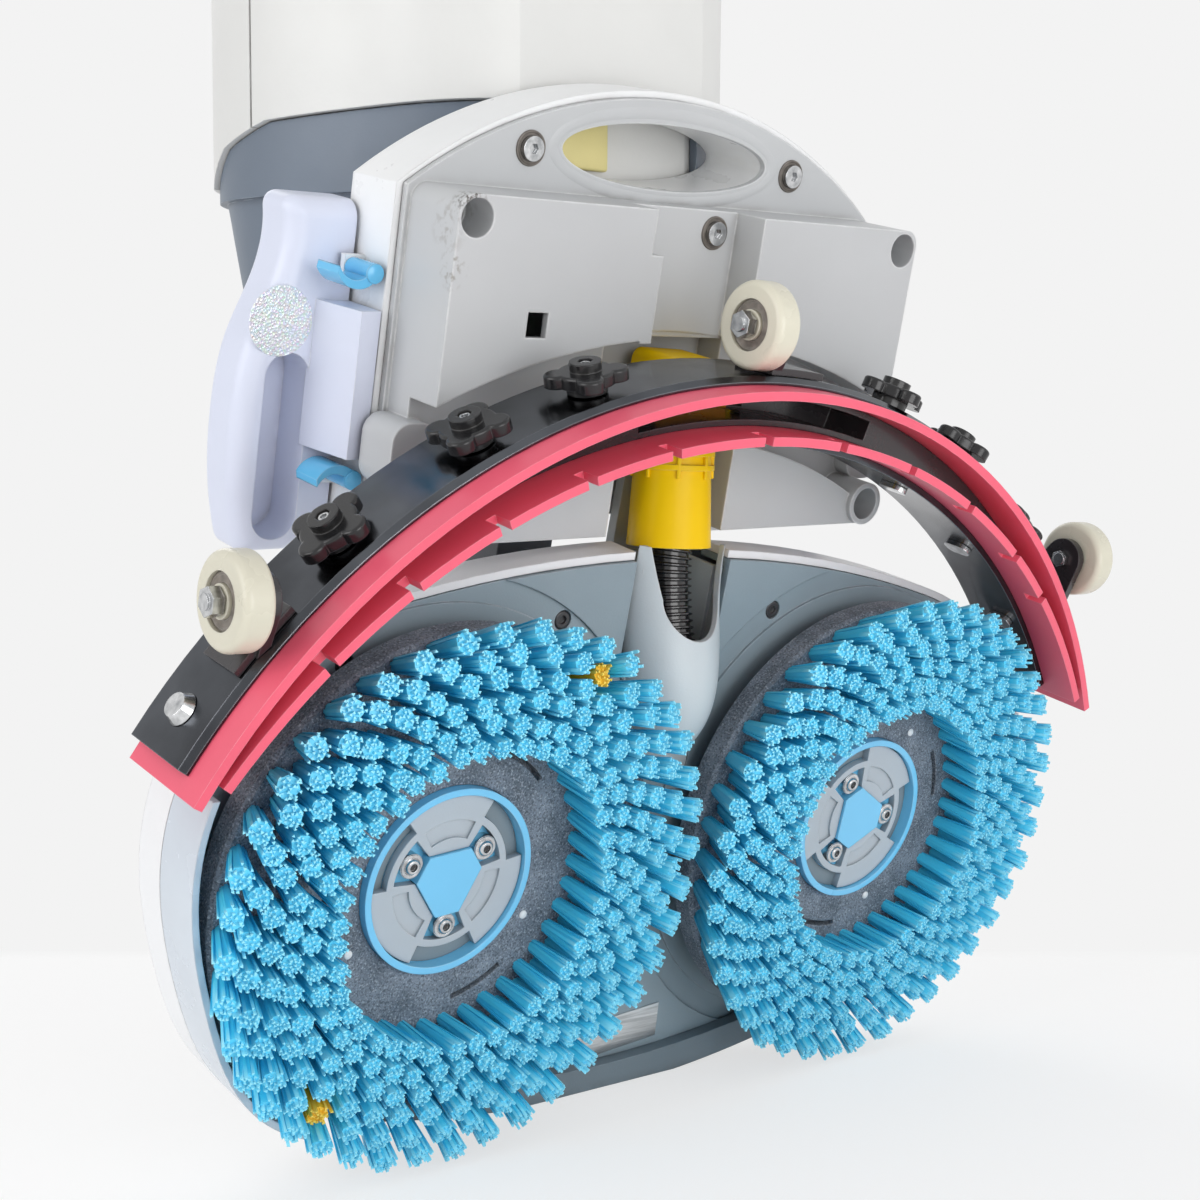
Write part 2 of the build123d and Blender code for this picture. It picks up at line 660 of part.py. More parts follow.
# Yellow suction cuff: a neck on the squeegee's back and a tapered tube toward the deck
NECK_HALF = 16.0
NECK_FOOT = 178.0
NECK_HEAD = 206.0
NECK_BACK = -64.4
CUFF_FOOT = (125.0, -38.0)
CUFF_LEAN = 11.0
CUFF_LENGTH = 58.0
HOSE_RADIUS = 10.5
HOSE_BORE = 7.5
cuff_tilt = radians(CUFF_LEAN)
CUFF = Plane(
    origin=DECK.from_local_coords((0, CUFF_FOOT[0], CUFF_FOOT[1])),
    x_dir=DECK.x_dir,
    z_dir=DECK.y_dir * cos(cuff_tilt) - DOWN * sin(cuff_tilt),
)
with BuildPart() as suction_cuff:
    with BuildSketch(at(DECK, 0, (NECK_FOOT + NECK_HEAD) / 2, BLOCK_SEAT - 0.1)):
        RectangleRounded(2 * NECK_HALF, NECK_HEAD - NECK_FOOT, 5)
    extrude(amount=NECK_BACK - BLOCK_SEAT + 0.1)
    with BuildSketch(CUFF):
        Circle(18.3)
    extrude(amount=CUFF_LENGTH, taper=2.6)
    for height in (33, 39):
        with BuildSketch(CUFF.offset(height)):
            Circle(18.2)
        extrude(amount=2.4)
    with BuildSketch(CUFF):
        Circle(HOSE_BORE)
    extrude(amount=CUFF_LENGTH + 6, mode=Mode.SUBTRACT)
    with BuildSketch(at(DECK, 0, 192, BLOCK_SEAT)):
        Rectangle(20, 9)
    extrude(amount=-20, mode=Mode.SUBTRACT)
    split(bisect_by=DECK.offset(NECK_BACK), keep=Keep.TOP)
keep(suction_cuff.part, "suction_cuff")

# Ribbed suction hose: square to the cuff, up over the hood's hollow, down into the port
RIB_PITCH = 4.0
RIB_ROOT = 9.3
with BuildPart() as suction_hose:
    with BuildLine(side_plane(DECK, 0)) as hose_line:
        FilletPolyline(
            (CUFF_FOOT[0], CUFF_FOOT[1]),
            (CUFF_FOOT[0] - 32 * cos(cuff_tilt), CUFF_FOOT[1] + 32 * sin(cuff_tilt)),
            (PORT_REAR, -12),
            (PORT_REAR, TROUGH_FLOOR + 3),
            radius=14,
        )
    course = hose_line.wires()[0]
    ribs = int(course.length / RIB_PITCH)
    for bore in (False, True):
        stations = []
        for k in range(ribs):
            for part_way, radius in ((0.0, RIB_ROOT), (0.3, HOSE_RADIUS), (0.7, HOSE_RADIUS)):
                stations.append(((k + part_way) / ribs, radius))
        stations.append((1.0, RIB_ROOT))
        for place, radius in stations:
            ring = Plane(origin=course @ place, x_dir=DECK.x_dir, z_dir=course % place)
            with BuildSketch(ring):
                Circle(HOSE_BORE if bore else radius)
        loft(ruled=True, mode=Mode.SUBTRACT if bore else Mode.ADD)
keep(suction_hose.part, "suction_hose")

# Swing arm behind the cuff, from the neck to the pin in the middle of the deck
ARM_FRONT = NECK_BACK - 0.1
ARM_HALF = 8.0
with BuildPart() as swing_arm:
    with BuildSketch(DECK.offset(ARM_FRONT)):
        with Locations((0, NECK_HEAD / 2)):
            Rectangle(2 * ARM_HALF, NECK_HEAD - 4)
        Circle(15)
        Circle(6 + RUN, mode=Mode.SUBTRACT)
    extrude(amount=-5)
keep(swing_arm.part, "swing_arm")

# Castor wheels on the rear strap with their brackets
CASTORS = {
    "left": (-237.9, 120.1, 2.5, 1),
    "middle": (-15.2, 227.6, 1.0, 1),
    "right": (243.0, 127.0, 3.0, -1),
}
BOLT_RADIUS = 3.0
NUT_RADIUS = 5.6
with BuildPart() as wheel_brackets:
    for name, (outer, rearward, level, inboard) in CASTORS.items():
        near = outer + inboard * (CASTOR_WIDTH + 2)
        foot_angle = {"left": -50.5, "middle": 2.6, "right": 52.5}[name]
        with BuildSketch(ARC.offset(-16)):
            sector(ARC_RADIUS + FIT, ARC_RADIUS + FIT + 3, 90 - foot_angle, 6.0)
        extrude(amount=22)
        root = 88.0 if name != "middle" else 205.0
        with BuildSketch(side_plane(DECK, near)):
            with BuildLine():
                Polyline((root, -14), (root, 4), (rearward - 8, level + 7), (rearward - 8, -14), close=True)
            make_face()
            with Locations((rearward, level)):
                Circle(10)
            make_hull()
            with Locations((rearward, level)):
                Circle(BOLT_RADIUS + RUN, mode=Mode.SUBTRACT)
        extrude(amount=inboard * 4)
    with BuildSketch(ARC.offset(-30)):
        Circle(ARC_RADIUS + FIT)
    extrude(amount=60, mode=Mode.SUBTRACT)
keep(wheel_brackets.part, "wheel_brackets")

for name, (outer, rearward, level, inboard) in CASTORS.items():
    with BuildPart() as castor:
        with BuildSketch(side_plane(DECK, outer)):
            with Locations((rearward, level)):
                Circle(CASTOR_RADIUS)
        extrude(amount=inboard * CASTOR_WIDTH)
        fillet(castor.edges().filter_by(GeomType.CIRCLE), 3.0)
        with BuildSketch(side_plane(DECK, outer)):
            with Locations((rearward, level)):
                Circle(10.5)
                Circle(6.2, mode=Mode.SUBTRACT)
        extrude(amount=inboard * 3, mode=Mode.SUBTRACT)
        with BuildSketch(side_plane(DECK, outer)):
            with Locations((rearward, level)):
                Circle(BOLT_RADIUS + RUN)
        extrude(amount=inboard * CASTOR_WIDTH, mode=Mode.SUBTRACT)
    keep(castor.part, f"wheel_{name}")

# Bolts and nuts of the castors, and the clamp screws of both straps
with BuildPart() as squeegee_fasteners:
    for outer, rearward, level, inboard in CASTORS.values():
        with BuildSketch(side_plane(DECK, outer - inboard * 6)):
            with Locations((rearward, level)):
                Circle(BOLT_RADIUS)
        extrude(amount=inboard * (CASTOR_WIDTH + 15))
        with BuildSketch(side_plane(DECK, outer - inboard * 0.6)):
            with Locations((rearward, level)):
                RegularPolygon(NUT_RADIUS, 6)
        extrude(amount=-inboard * 4.5)
        with BuildSketch(side_plane(DECK, outer + inboard * (CASTOR_WIDTH + 6.2))):
            with Locations((rearward, level)):
                RegularPolygon(4.2, 6)
        extrude(amount=inboard * 2.6)
    for angle in (-57.5, 57.5):
        with BuildSketch(outward(ARC, angle, ARC_RADIUS + FIT, -10)):
            Circle(6.5)
        extrude(amount=4, taper=25)
    for angle in (-46, -34.1, -21.4, 21.4, 34.1, 46):
        with BuildSketch(outward(FRONT_ARC, angle, FRONT_STRAP_OUT - STRAP - FIT, -8)):
            SlotOverall(14, 8)
        extrude(amount=-2.4)
keep(squeegee_fasteners.part, "squeegee_fasteners")

# Four-lobed hand knobs with their studs
KNOB_SEAT = ARC_RADIUS + 0.6
KNOB_COLLAR = 3.6
KNOB_PLATE = 5.0
KNOB_BOSS = 3.6
KNOB_SOCKET = 3.0
for number, angle in enumerate(KNOB_ANGLES, start=1):
    with BuildPart() as knob:
        with BuildSketch(outward(ARC, angle, KNOB_SEAT, KNOB_LEVEL)):
            Circle(8)
        extrude(amount=KNOB_COLLAR)
        with BuildSketch(outward(ARC, angle, KNOB_SEAT + KNOB_COLLAR, KNOB_LEVEL)):
            Circle(11.5)
            with PolarLocations(11, 4, start_angle=20 * number):
                Circle(5.4)
        extrude(amount=KNOB_PLATE)
        fillet(knob.faces().sort_by(Axis((0, 0, 0), outward(ARC, angle, 0, 0).z_dir))[-1].edges(), 1.2)
        with BuildSketch(outward(ARC, angle, KNOB_SEAT + KNOB_COLLAR + KNOB_PLATE, KNOB_LEVEL)):
            Circle(6.2)
            RegularPolygon(KNOB_SOCKET, 6, mode=Mode.SUBTRACT)
        extrude(amount=KNOB_BOSS)
        with BuildSketch(outward(ARC, angle, KNOB_SEAT, KNOB_LEVEL)):
            Circle(3)
        extrude(amount=-11)
    keep(knob.part, f"knob_{number}")

# Rear shell of the body: an arched panel with a raised block that wraps the squeegee
RECESS_HALF = 33.0
RECESS_STEP = 212.0
RECESS_UPPER = 30.0
RECESS_LEVEL = -57.0
GROOVE_IN = 247.0
GROOVE_OUT = 290.0
GROOVE_LEVEL = -58.0
SOCKETS = ((118.5, 257.5), (-118.5, 257.5))
LOW_SOCKETS = ((121.0, 140.0), (-121.0, 140.0))
CELL_LEVEL = -61.5
CELL_OUT = 123.5
CELL_IN = 37.0


def groove(r_in, r_out, mode=Mode.ADD):
    """Arc band of the squeegee's resting place, in body sketch coordinates."""
    with BuildSketch(mode=Mode.PRIVATE) as band:
        with Locations((0, ARC_CENTRE)):
            Circle(r_out)
            Circle(r_in, mode=Mode.SUBTRACT)
    add(band.sketch, mode=mode)


with BuildPart() as rear_shell:
    with BuildSketch(BODY.offset(PANEL_LEVEL)):
        arch_plan()
    extrude(amount=-PANEL_WALL)
    with BuildSketch(BODY.offset(PANEL_LEVEL)):
        with Locations((0, (BLOCK_TOP + BODY_FOOT) / 2)):
            RectangleRounded(2 * BLOCK_HALF, BLOCK_TOP - BODY_FOOT, 7)
    extrude(amount=BLOCK_FACE - PANEL_LEVEL)
    with BuildSketch(BODY.offset(BLOCK_FACE)):
        groove(GROOVE_IN, GROOVE_OUT)
        with Locations((0, 200)):
            Rectangle(2 * BLOCK_HALF + 2, 200, mode=Mode.INTERSECT)
    extrude(amount=GROOVE_LEVEL - BLOCK_FACE, mode=Mode.SUBTRACT)
    for side in (-1, 1):
        middle = side * (CELL_OUT + CELL_IN) / 2
        with BuildSketch(BODY.offset(PANEL_LEVEL - PANEL_WALL)):
            with Locations((middle, (BLOCK_TOP + BODY_FOOT) / 2)):
                Rectangle(CELL_OUT - CELL_IN, BLOCK_TOP - BODY_FOOT - 7)
        extrude(amount=CELL_LEVEL - PANEL_LEVEL + PANEL_WALL, mode=Mode.SUBTRACT)
        with BuildSketch(BODY.offset(CELL_LEVEL)):
            with Locations((middle, (BLOCK_TOP + BODY_FOOT) / 2)):
                Rectangle(CELL_OUT - CELL_IN, BLOCK_TOP - BODY_FOOT - 7)
            groove(GROOVE_IN - 3.5, GROOVE_OUT + 3.5, mode=Mode.SUBTRACT)
        extrude(amount=BLOCK_FACE - 3.5 - CELL_LEVEL, mode=Mode.SUBTRACT)
    with BuildSketch(BODY.offset(BLOCK_FACE)):
        with Locations((0, (RECESS_STEP + BODY_FOOT) / 2 - 5)):
            Rectangle(2 * RECESS_HALF, RECESS_STEP - BODY_FOOT + 10)
    extrude(amount=PANEL_LEVEL - BLOCK_FACE, mode=Mode.SUBTRACT)
    with BuildSketch(BODY.offset(BLOCK_FACE)):
        with Locations((0, (RECESS_STEP + BLOCK_TOP) / 2 + 2)):
            Rectangle(2 * RECESS_UPPER, BLOCK_TOP - RECESS_STEP + 4)
    extrude(amount=RECESS_LEVEL - BLOCK_FACE, mode=Mode.SUBTRACT)
    with BuildSketch(BODY.offset(RECESS_LEVEL)):
        with Locations((3 - RECESS_UPPER, 230)):
            Rectangle(6, 36)
    extrude(amount=BLOCK_FACE - RECESS_LEVEL)
    with BuildSketch(BODY.offset(PANEL_LEVEL)):
        with Locations(*SOCKETS):
            Circle(8.5)
    extrude(amount=BLOCK_FACE - PANEL_LEVEL)
    with BuildSketch(BODY.offset(PANEL_LEVEL)):
        with Locations(*LOW_SOCKETS):
            Circle(10)
    extrude(amount=BLOCK_FACE - PANEL_LEVEL + 3)
    with BuildSketch(BODY.offset(PANEL_LEVEL + 1.6)):
        with Locations((128, 163), (-128, 163)):
            RectangleRounded(21, 28, 8)
    extrude(amount=22)
    with BuildSketch(BODY.offset(BLOCK_FACE + 3)):
        with Locations(*SOCKETS, *LOW_SOCKETS):
            Circle(7.5)
    extrude(amount=-22, mode=Mode.SUBTRACT)
    with BuildSketch(BODY.offset(BLOCK_FACE)):
        with Locations((-84, 218)):
            Rectangle(10, 10)
    extrude(amount=-16, mode=Mode.SUBTRACT)
    with BuildSketch(BODY.offset(PANEL_LEVEL)):
        with Locations((0, HOLD_REAR)):
            Ellipse(HOLD_HALF, HOLD_RISE)
    extrude(amount=-PANEL_WALL, mode=Mode.SUBTRACT)
    with BuildSketch(BODY.offset(PANEL_LEVEL)):
        with Locations((73, 283), (-73, 283)):
            Circle(2.6)
    extrude(amount=-PANEL_WALL, mode=Mode.SUBTRACT)
    with BuildSketch(BODY.offset(RECESS_LEVEL)):
        with Locations((18, 257)):
            Circle(2.6)
    extrude(amount=-12, mode=Mode.SUBTRACT)
keep(rear_shell.part, "rear_shell")

with BuildPart() as chassis_screws:
    for across, rearward, seat in (
        (73, 283, PANEL_LEVEL), (-73, 283, PANEL_LEVEL), (18, 257, RECESS_LEVEL)
    ):
        with BuildSketch(at(BODY, across, rearward, seat)):
            Circle(2.4)
        extrude(amount=-10)
        with BuildSketch(at(BODY, across, rearward, seat)):
            Circle(5)
        extrude(amount=2.6)
        with BuildSketch(at(BODY, across, rearward, seat + 2.6)):
            RegularPolygon(2.2, 6)
        extrude(amount=-1.5, mode=Mode.SUBTRACT)
keep(chassis_screws.part, "chassis_screws")

# White front shell: a shallow tray behind the panel, with the hand-hold sleeve, the
# battery shelves and the latch pins
SHELL_HALF = ARCH_HALF + 3
SHELL_FRONT = PANEL_LEVEL - PANEL_WALL - 0.2
SHELF_REAR = 108.0
PACK_FRONT = -98.0
PACK_DEPTH = 28.0
PACK_IN = 133.6
PACK_CELL = 96.0
PACK_FOOT = 112.0
PACK_TOP = 254.5
LATCH_EYE = (137.0, 229.5)
LATCH_MIDDLE = 188.6
LATCH_FRONT = -76.0
LATCH_WIDTH = 16.0
LATCH_PIN = 2.0
with BuildPart() as front_shell:
    with BuildSketch(BODY.offset(SHELL_FRONT)):
        arch_plan(3)
    extrude(amount=SHELL_BACK - SHELL_FRONT)
    fillet(front_shell.faces().sort_by(BACKWARD)[-1].edges(), 7)
    with BuildSketch(BODY.offset(SHELL_FRONT)):
        arch_plan(3 - SHELL_WALL, foot=BODY_FOOT + SHELL_WALL)
    extrude(amount=SHELL_BACK + SHELL_WALL - SHELL_FRONT, mode=Mode.SUBTRACT)
    with BuildSketch(BODY.offset(SHELL_FRONT)):
        with Locations((0, HOLD_REAR)):
            Ellipse(HOLD_HALF + 3, HOLD_RISE + 3)
        with Locations((73, 283), (-73, 283)):
            Circle(6)
    extrude(amount=SHELL_BACK + 1 - SHELL_FRONT)
    with BuildSketch(BODY.offset(SHELL_FRONT)):
        with Locations((0, HOLD_REAR)):
            Ellipse(HOLD_HALF, HOLD_RISE)
    extrude(amount=SHELL_BACK - SHELL_FRONT, mode=Mode.SUBTRACT)
    with BuildSketch(BODY.offset(SHELL_FRONT)):
        with Locations((73, 283), (-73, 283)):
            Circle(2.6)
    extrude(amount=-14, mode=Mode.SUBTRACT)
    for side in (-1, 1):
        with BuildSketch(BODY.offset(SHELL_BACK + SHELL_WALL)):
            with Locations((side * 109, SHELF_REAR + 24)):
                Rectangle(46, 48)
        extrude(amount=-SHELL_WALL)
        with BuildSketch(BODY.offset(SHELL_BACK)):
            with Locations((side * 112, SHELF_REAR + 1.8)):
                Rectangle(52, 3.6)
        extrude(amount=-40)
        for way in (-1, 1):
            rise = LATCH_MIDDLE + way * (LATCH_EYE[1] - LATCH_MIDDLE)
            with BuildSketch(BODY.offset(LATCH_FRONT - LATCH_WIDTH - GAP)):
                with Locations((side * (SHELL_HALF + 4), rise)):
                    Rectangle(10, 10)
            extrude(amount=-3)
            with BuildSketch(BODY.offset(LATCH_FRONT - LATCH_WIDTH - GAP)):
                with Locations((side * LATCH_EYE[0], rise)):
                    Circle(LATCH_PIN)
            extrude(amount=LATCH_WIDTH + GAP)
keep(front_shell.part, "front_shell")


# Battery packs: a flask with a handle at its outer edge, a rib block in front and the cell
# box that goes in behind the shell
with BuildPart() as pack_right:
    with BuildSketch(BODY.offset(PACK_FRONT)):
        with BuildLine():
            Polyline((165, PACK_TOP), (PACK_IN, PACK_TOP), (PACK_IN, PACK_FOOT), (171, PACK_FOOT))
            Spline(
                (171, PACK_FOOT), (177.5, 142), (178.5, 167), (174.5, 198), (167, 218), (165, PACK_TOP)
            )
        make_face()
    extrude(amount=-PACK_DEPTH)
    fillet(pack_right.edges().filter_by(Axis((0, 0, 0), DOWN)).sort_by(Axis((0, 0, 0), BODY.x_dir))[-2:], 5)
    fillet(pack_right.edges().filter_by(GeomType.BSPLINE), 8)
    with BuildSketch(BODY.offset(SHELL_BACK - 0.6)):
        with Locations(((PACK_CELL + 138) / 2, (PACK_FOOT + 250) / 2)):
            Rectangle(138 - PACK_CELL, 250 - PACK_FOOT)
    extrude(amount=-37)
    with BuildSketch(BODY.offset(PACK_FRONT)):
        with Locations((158, 156)):
            SlotOverall(76, 20, rotation=90)
    extrude(amount=-20, mode=Mode.SUBTRACT)
    with BuildSketch(
        Plane(origin=BODY.from_local_coords((0, 157, 0)), x_dir=BODY.x_dir, z_dir=BODY.y_dir)
    ):
        with BuildLine():
            Polyline((PACK_IN, 100), (PACK_IN, 74), (143.5, 72), (149, 100), close=True)
        make_face()
    extrude(amount=58.5)
keep(pack_right.part, "battery_right")

with BuildPart() as pack_left:
    add(pack_right.part.mirror(Plane(origin=BODY.origin, z_dir=BODY.x_dir)))
keep(pack_left.part, "battery_left")


# Battery latches: sprung levers over and under the rib block
def latch(name, side, way):
    def spot(across, rise):
        return (side * across, LATCH_MIDDLE + way * (rise - LATCH_MIDDLE))

    with BuildPart() as lever:
        with BuildSketch(BODY.offset(LATCH_FRONT)):
            with BuildLine():
                ThreePointArc(spot(137, 233.5), spot(146, 226.8), spot(153, 232))
                Line(spot(153, 232), spot(153.6, 229))
                ThreePointArc(spot(153.6, 229), spot(146, 223.4), spot(137, 226))
                Line(spot(137, 226), spot(137, 233.5))
            make_face()
            with Locations(spot(*LATCH_EYE)):
                Circle(4)
                Circle(LATCH_PIN + RUN, mode=Mode.SUBTRACT)
        extrude(amount=-LATCH_WIDTH)
    keep(lever.part, f"latch_{name}")


latch("left_top", -1, 1)
latch("left_bottom", -1, -1)
latch("right_top", 1, 1)
latch("right_bottom", 1, -1)

# Tank carrier: an egg-shaped cup with an open near side on a tapering hollow foot
FOOT_HEIGHT = -140.0
FOOT_INSET = 30.0
WALL = 4.0


def foot_form(wall):
    with BuildPart() as form:
        with BuildSketch(COLUMN.offset(CUP_FLOOR - WALL - (wall and 1))):
            egg(4 + wall)
        with BuildSketch(COLUMN.offset(FOOT_HEIGHT + wall)):
            egg(FOOT_INSET + wall)
        loft()
    return form.part


def above_rim(gap):
    """Everything above the carrier's rim, which falls away past the middle of its sides."""
    near = (-COLUMN_NEAR - 20, RIM_NEAR)
    far = (COLUMN_FAR + 20, RIM_CURVE[-1][1])
    with BuildPart(mode=Mode.PRIVATE) as space:
        with BuildSketch(side_plane(COLUMN, -200)):
            with BuildLine():
                Polyline(
                    *((depth, height + gap) for depth, height in (near, *RIM_CURVE, far)),
                    (far[0], TANK_HEIGHT + 20), (near[0], TANK_HEIGHT + 20), close=True,
                )
            make_face()
        extrude(amount=400)
    return space.part


with BuildPart() as tank_carrier:
    with BuildSketch(COLUMN.offset(CUP_FLOOR - WALL)):
        egg()
    extrude(amount=WALL + RIM_NEAR - CUP_FLOOR)
    with BuildSketch(COLUMN.offset(CUP_FLOOR)):
        egg(WALL)
    extrude(amount=RIM_NEAR - CUP_FLOOR, mode=Mode.SUBTRACT)
    with BuildSketch(COLUMN.offset(CUP_FLOOR)):
        with Locations((0, -COLUMN_NEAR)):
            Rectangle(2 * COLUMN_FLAT + 4, 30)
    extrude(amount=RIM_NEAR - CUP_FLOOR, mode=Mode.SUBTRACT)
    add(above_rim(0), mode=Mode.SUBTRACT)
    add(foot_form(0))
    with BuildSketch(side_plane(BODY, -50)):
        with Locations((195, -130)):
            Rectangle(100, 36)
    extrude(amount=100)
    add(foot_form(WALL), mode=Mode.SUBTRACT)
    with BuildSketch(COLUMN.offset(CUP_FLOOR)):
        Circle(TUBE_RADIUS + 4.2)
        Circle(TUBE_RADIUS + FIT, mode=Mode.SUBTRACT)
    extrude(amount=35)
    split(bisect_by=BODY.offset(SHELL_BACK - GAP), keep=Keep.BOTTOM)
keep(tank_carrier.part, "tank_carrier")

# Suction motor in the hollow foot
with BuildPart() as vacuum_motor:
    with BuildSketch(at(COLUMN, 0, -22, FOOT_HEIGHT + WALL + FIT)):
        Circle(44)
    extrude(amount=70)
keep(vacuum_motor.part, "vacuum_motor")

# Neck between the foot and the swivel pin
NECK_SIDE = 20.0
NECK_NEAR = FOLD_LEVEL - BLOCK_RADIUS - GAP
NECK_FAR = NECK_NEAR - 26
with BuildPart() as fold_neck:
    with BuildSketch(at(BODY, 0, FOLD_REAR, NECK_NEAR)):
        Circle(16)
    extrude(amount=NECK_FAR - NECK_NEAR)
    with BuildSketch(side_plane(BODY, -NECK_SIDE + 4)):
        with BuildLine():
            seat_near = in_body(0, -66, FOOT_HEIGHT - FIT)
            seat_far = in_body(0, -20, FOOT_HEIGHT - FIT)
            Polyline(
                (FOLD_REAR, NECK_NEAR), seat_near, seat_far, (FOLD_REAR, NECK_FAR), close=True
            )
        make_face()
    extrude(amount=2 * (NECK_SIDE - 4))
    with BuildSketch(at(BODY, 0, FOLD_REAR, NECK_NEAR + 2)):
        Circle(SWIVEL_RADIUS + RUN)
    extrude(amount=-50, mode=Mode.SUBTRACT)
keep(fold_neck.part, "fold_neck")


# Tanks on both sides of the spine tube, wider above the carrier's rim than inside it
TANK_WALL = 3.0


def tank_half(near, inset, gap=0.0, mode=Mode.ADD):
    """Plan of one tank, on its side of the parting between the two."""
    side = -1 if near else 1
    with BuildSketch(mode=Mode.PRIVATE) as half:
        egg(inset)
        with Locations((0, TANK_PARTING + side * (150.6 + gap))):
            Rectangle(300, 300, mode=Mode.INTERSECT)
        Circle(TUBE_RADIUS + 6 + gap, mode=Mode.SUBTRACT)
    add(half.sketch, mode=mode)


def tank(near):
    with BuildPart() as head:
        with BuildSketch(COLUMN.offset(CUP_FLOOR)):
            tank_half(near, -TANK_OVER)
        extrude(amount=TANK_HEIGHT + FIT - CUP_FLOOR)
        with BuildSketch(COLUMN.offset(RIM_NEAR + 4)):
            tank_half(near, TANK_WALL - TANK_OVER, TANK_WALL)
        extrude(amount=TANK_HEIGHT - RIM_NEAR - 8, mode=Mode.SUBTRACT)
        add(above_rim(0.6), mode=Mode.INTERSECT)
    with BuildPart() as shell:
        with BuildSketch(COLUMN.offset(CUP_FLOOR + FIT)):
            tank_half(near, TANK_INSET)
        extrude(amount=RIM_NEAR + 4 - CUP_FLOOR)
        add(head.part)
        with BuildSketch(COLUMN.offset(4)):
            tank_half(near, TANK_INSET + TANK_WALL, TANK_WALL)
        extrude(amount=TANK_HEIGHT - 8, mode=Mode.SUBTRACT)
        with BuildSketch(at(COLUMN, 0, -60 if near else 48, TANK_HEIGHT - 6)):
            Circle(30 if near else 22)
        extrude(amount=20, mode=Mode.SUBTRACT)
    return shell.part


recovery_tank = tank(True)
keep(recovery_tank, "recovery_tank")
solution_tank = tank(False)
keep(solution_tank, "solution_tank")

LID_SEAT = TANK_HEIGHT + 2 * FIT
with BuildPart() as recovery_lid:
    with BuildSketch(COLUMN.offset(LID_SEAT)):
        tank_half(True, -TANK_OVER - 1)
    extrude(amount=14)
    with BuildSketch(at(COLUMN, 0, -60, LID_SEAT)):
        Circle(29.6)
    extrude(amount=-10)
keep(recovery_lid.part, "recovery_lid")

with BuildPart() as filler_cap:
    with BuildSketch(at(COLUMN, 0, 48, LID_SEAT)):
        Circle(28)
        with PolarLocations(28, 12):
            Circle(2.5, mode=Mode.SUBTRACT)
    extrude(amount=16)
    with BuildSketch(at(COLUMN, 0, 48, LID_SEAT)):
        Circle(21.9)
    extrude(amount=-10)
keep(filler_cap.part, "filler_cap")

# Spine tube, console and looped grip
CONSOLE_FOOT = 640.0
CONSOLE_TOP = 725.0
CONSOLE_HALF = 52.0
CONSOLE_NEAR = -42.0
CONSOLE_FAR = 30.0
with BuildPart() as spine_tube:
    with BuildSketch(COLUMN.offset(CUP_FLOOR + FIT)):
        Circle(TUBE_RADIUS)
        Circle(TUBE_RADIUS - 3, mode=Mode.SUBTRACT)
    extrude(amount=CONSOLE_FOOT + 30 - CUP_FLOOR)
keep(spine_tube.part, "spine_tube")

BUTTON_HEIGHT = 688.0
TRIGGER_AXIS = (-26.0, CONSOLE_TOP + 7.0)
with BuildPart() as console:
    with BuildSketch(at(COLUMN, 0, (CONSOLE_NEAR + CONSOLE_FAR) / 2, CONSOLE_FOOT)):
        RectangleRounded(2 * CONSOLE_HALF, CONSOLE_FAR - CONSOLE_NEAR, 14)
    extrude(amount=CONSOLE_TOP - CONSOLE_FOOT)
    fillet(console.faces().sort_by(Axis((0, 0, 0), COLUMN.z_dir))[-1].edges(), 6)
    with BuildSketch(COLUMN.offset(CONSOLE_FOOT)):
        Circle(TUBE_RADIUS + FIT)
    extrude(amount=30.5, mode=Mode.SUBTRACT)
    for side in (-1, 1):
        with BuildSketch(side_plane(COLUMN, side * 34)):
            with BuildLine():
                Polyline((-36, CONSOLE_TOP - 6), (-16, CONSOLE_TOP - 6), (-16, CONSOLE_TOP + 2),
                         (-36, CONSOLE_TOP + 2), close=True)
            make_face()
            with Locations(TRIGGER_AXIS):
                Circle(6)
            make_hull()
            with Locations(TRIGGER_AXIS):
                Circle(3 + RUN, mode=Mode.SUBTRACT)
        extrude(amount=side * 6)
    with BuildSketch(Plane(origin=COLUMN.from_local_coords((0, CONSOLE_NEAR, BUTTON_HEIGHT)),
                           x_dir=COLUMN.x_dir, z_dir=-COLUMN.y_dir)):
        Circle(9 + GAP)
    extrude(amount=-9, mode=Mode.SUBTRACT)
keep(console.part, "console")

with BuildPart() as handle_grip:
    with BuildLine(Plane(origin=COLUMN.origin, x_dir=COLUMN.x_dir, z_dir=-COLUMN.y_dir)) as loop:
        FilletPolyline(
            (CONSOLE_HALF + FIT, 690),
            (118, 690),
            (118, GRIP_HEIGHT),
            (-118, GRIP_HEIGHT),
            (-118, 690),
            (-CONSOLE_HALF - FIT, 690),
            radius=30,
        )
    with BuildSketch(Plane(origin=loop.wires()[0] @ 0, z_dir=loop.wires()[0] % 0)):
        Circle(13)
    sweep()
keep(handle_grip.part, "handle_grip")

with BuildPart() as trigger:
    with BuildSketch(side_plane(COLUMN, -33.6)):
        with Locations(TRIGGER_AXIS):
            Circle(5)
        with Locations((TRIGGER_AXIS[0] - 1, TRIGGER_AXIS[1] + 16)):
            Rectangle(6, 32)
    extrude(amount=67.2)
    with BuildSketch(side_plane(COLUMN, -40)):
        with Locations(TRIGGER_AXIS):
            Circle(3)
    extrude(amount=80)
keep(trigger.part, "trigger")

with BuildPart() as power_button:
    with BuildSketch(Plane(origin=COLUMN.from_local_coords((0, CONSOLE_NEAR + 5, BUTTON_HEIGHT)),
                           x_dir=COLUMN.x_dir, z_dir=-COLUMN.y_dir)):
        Circle(9)
    extrude(amount=8)
keep(power_button.part, "power_button")
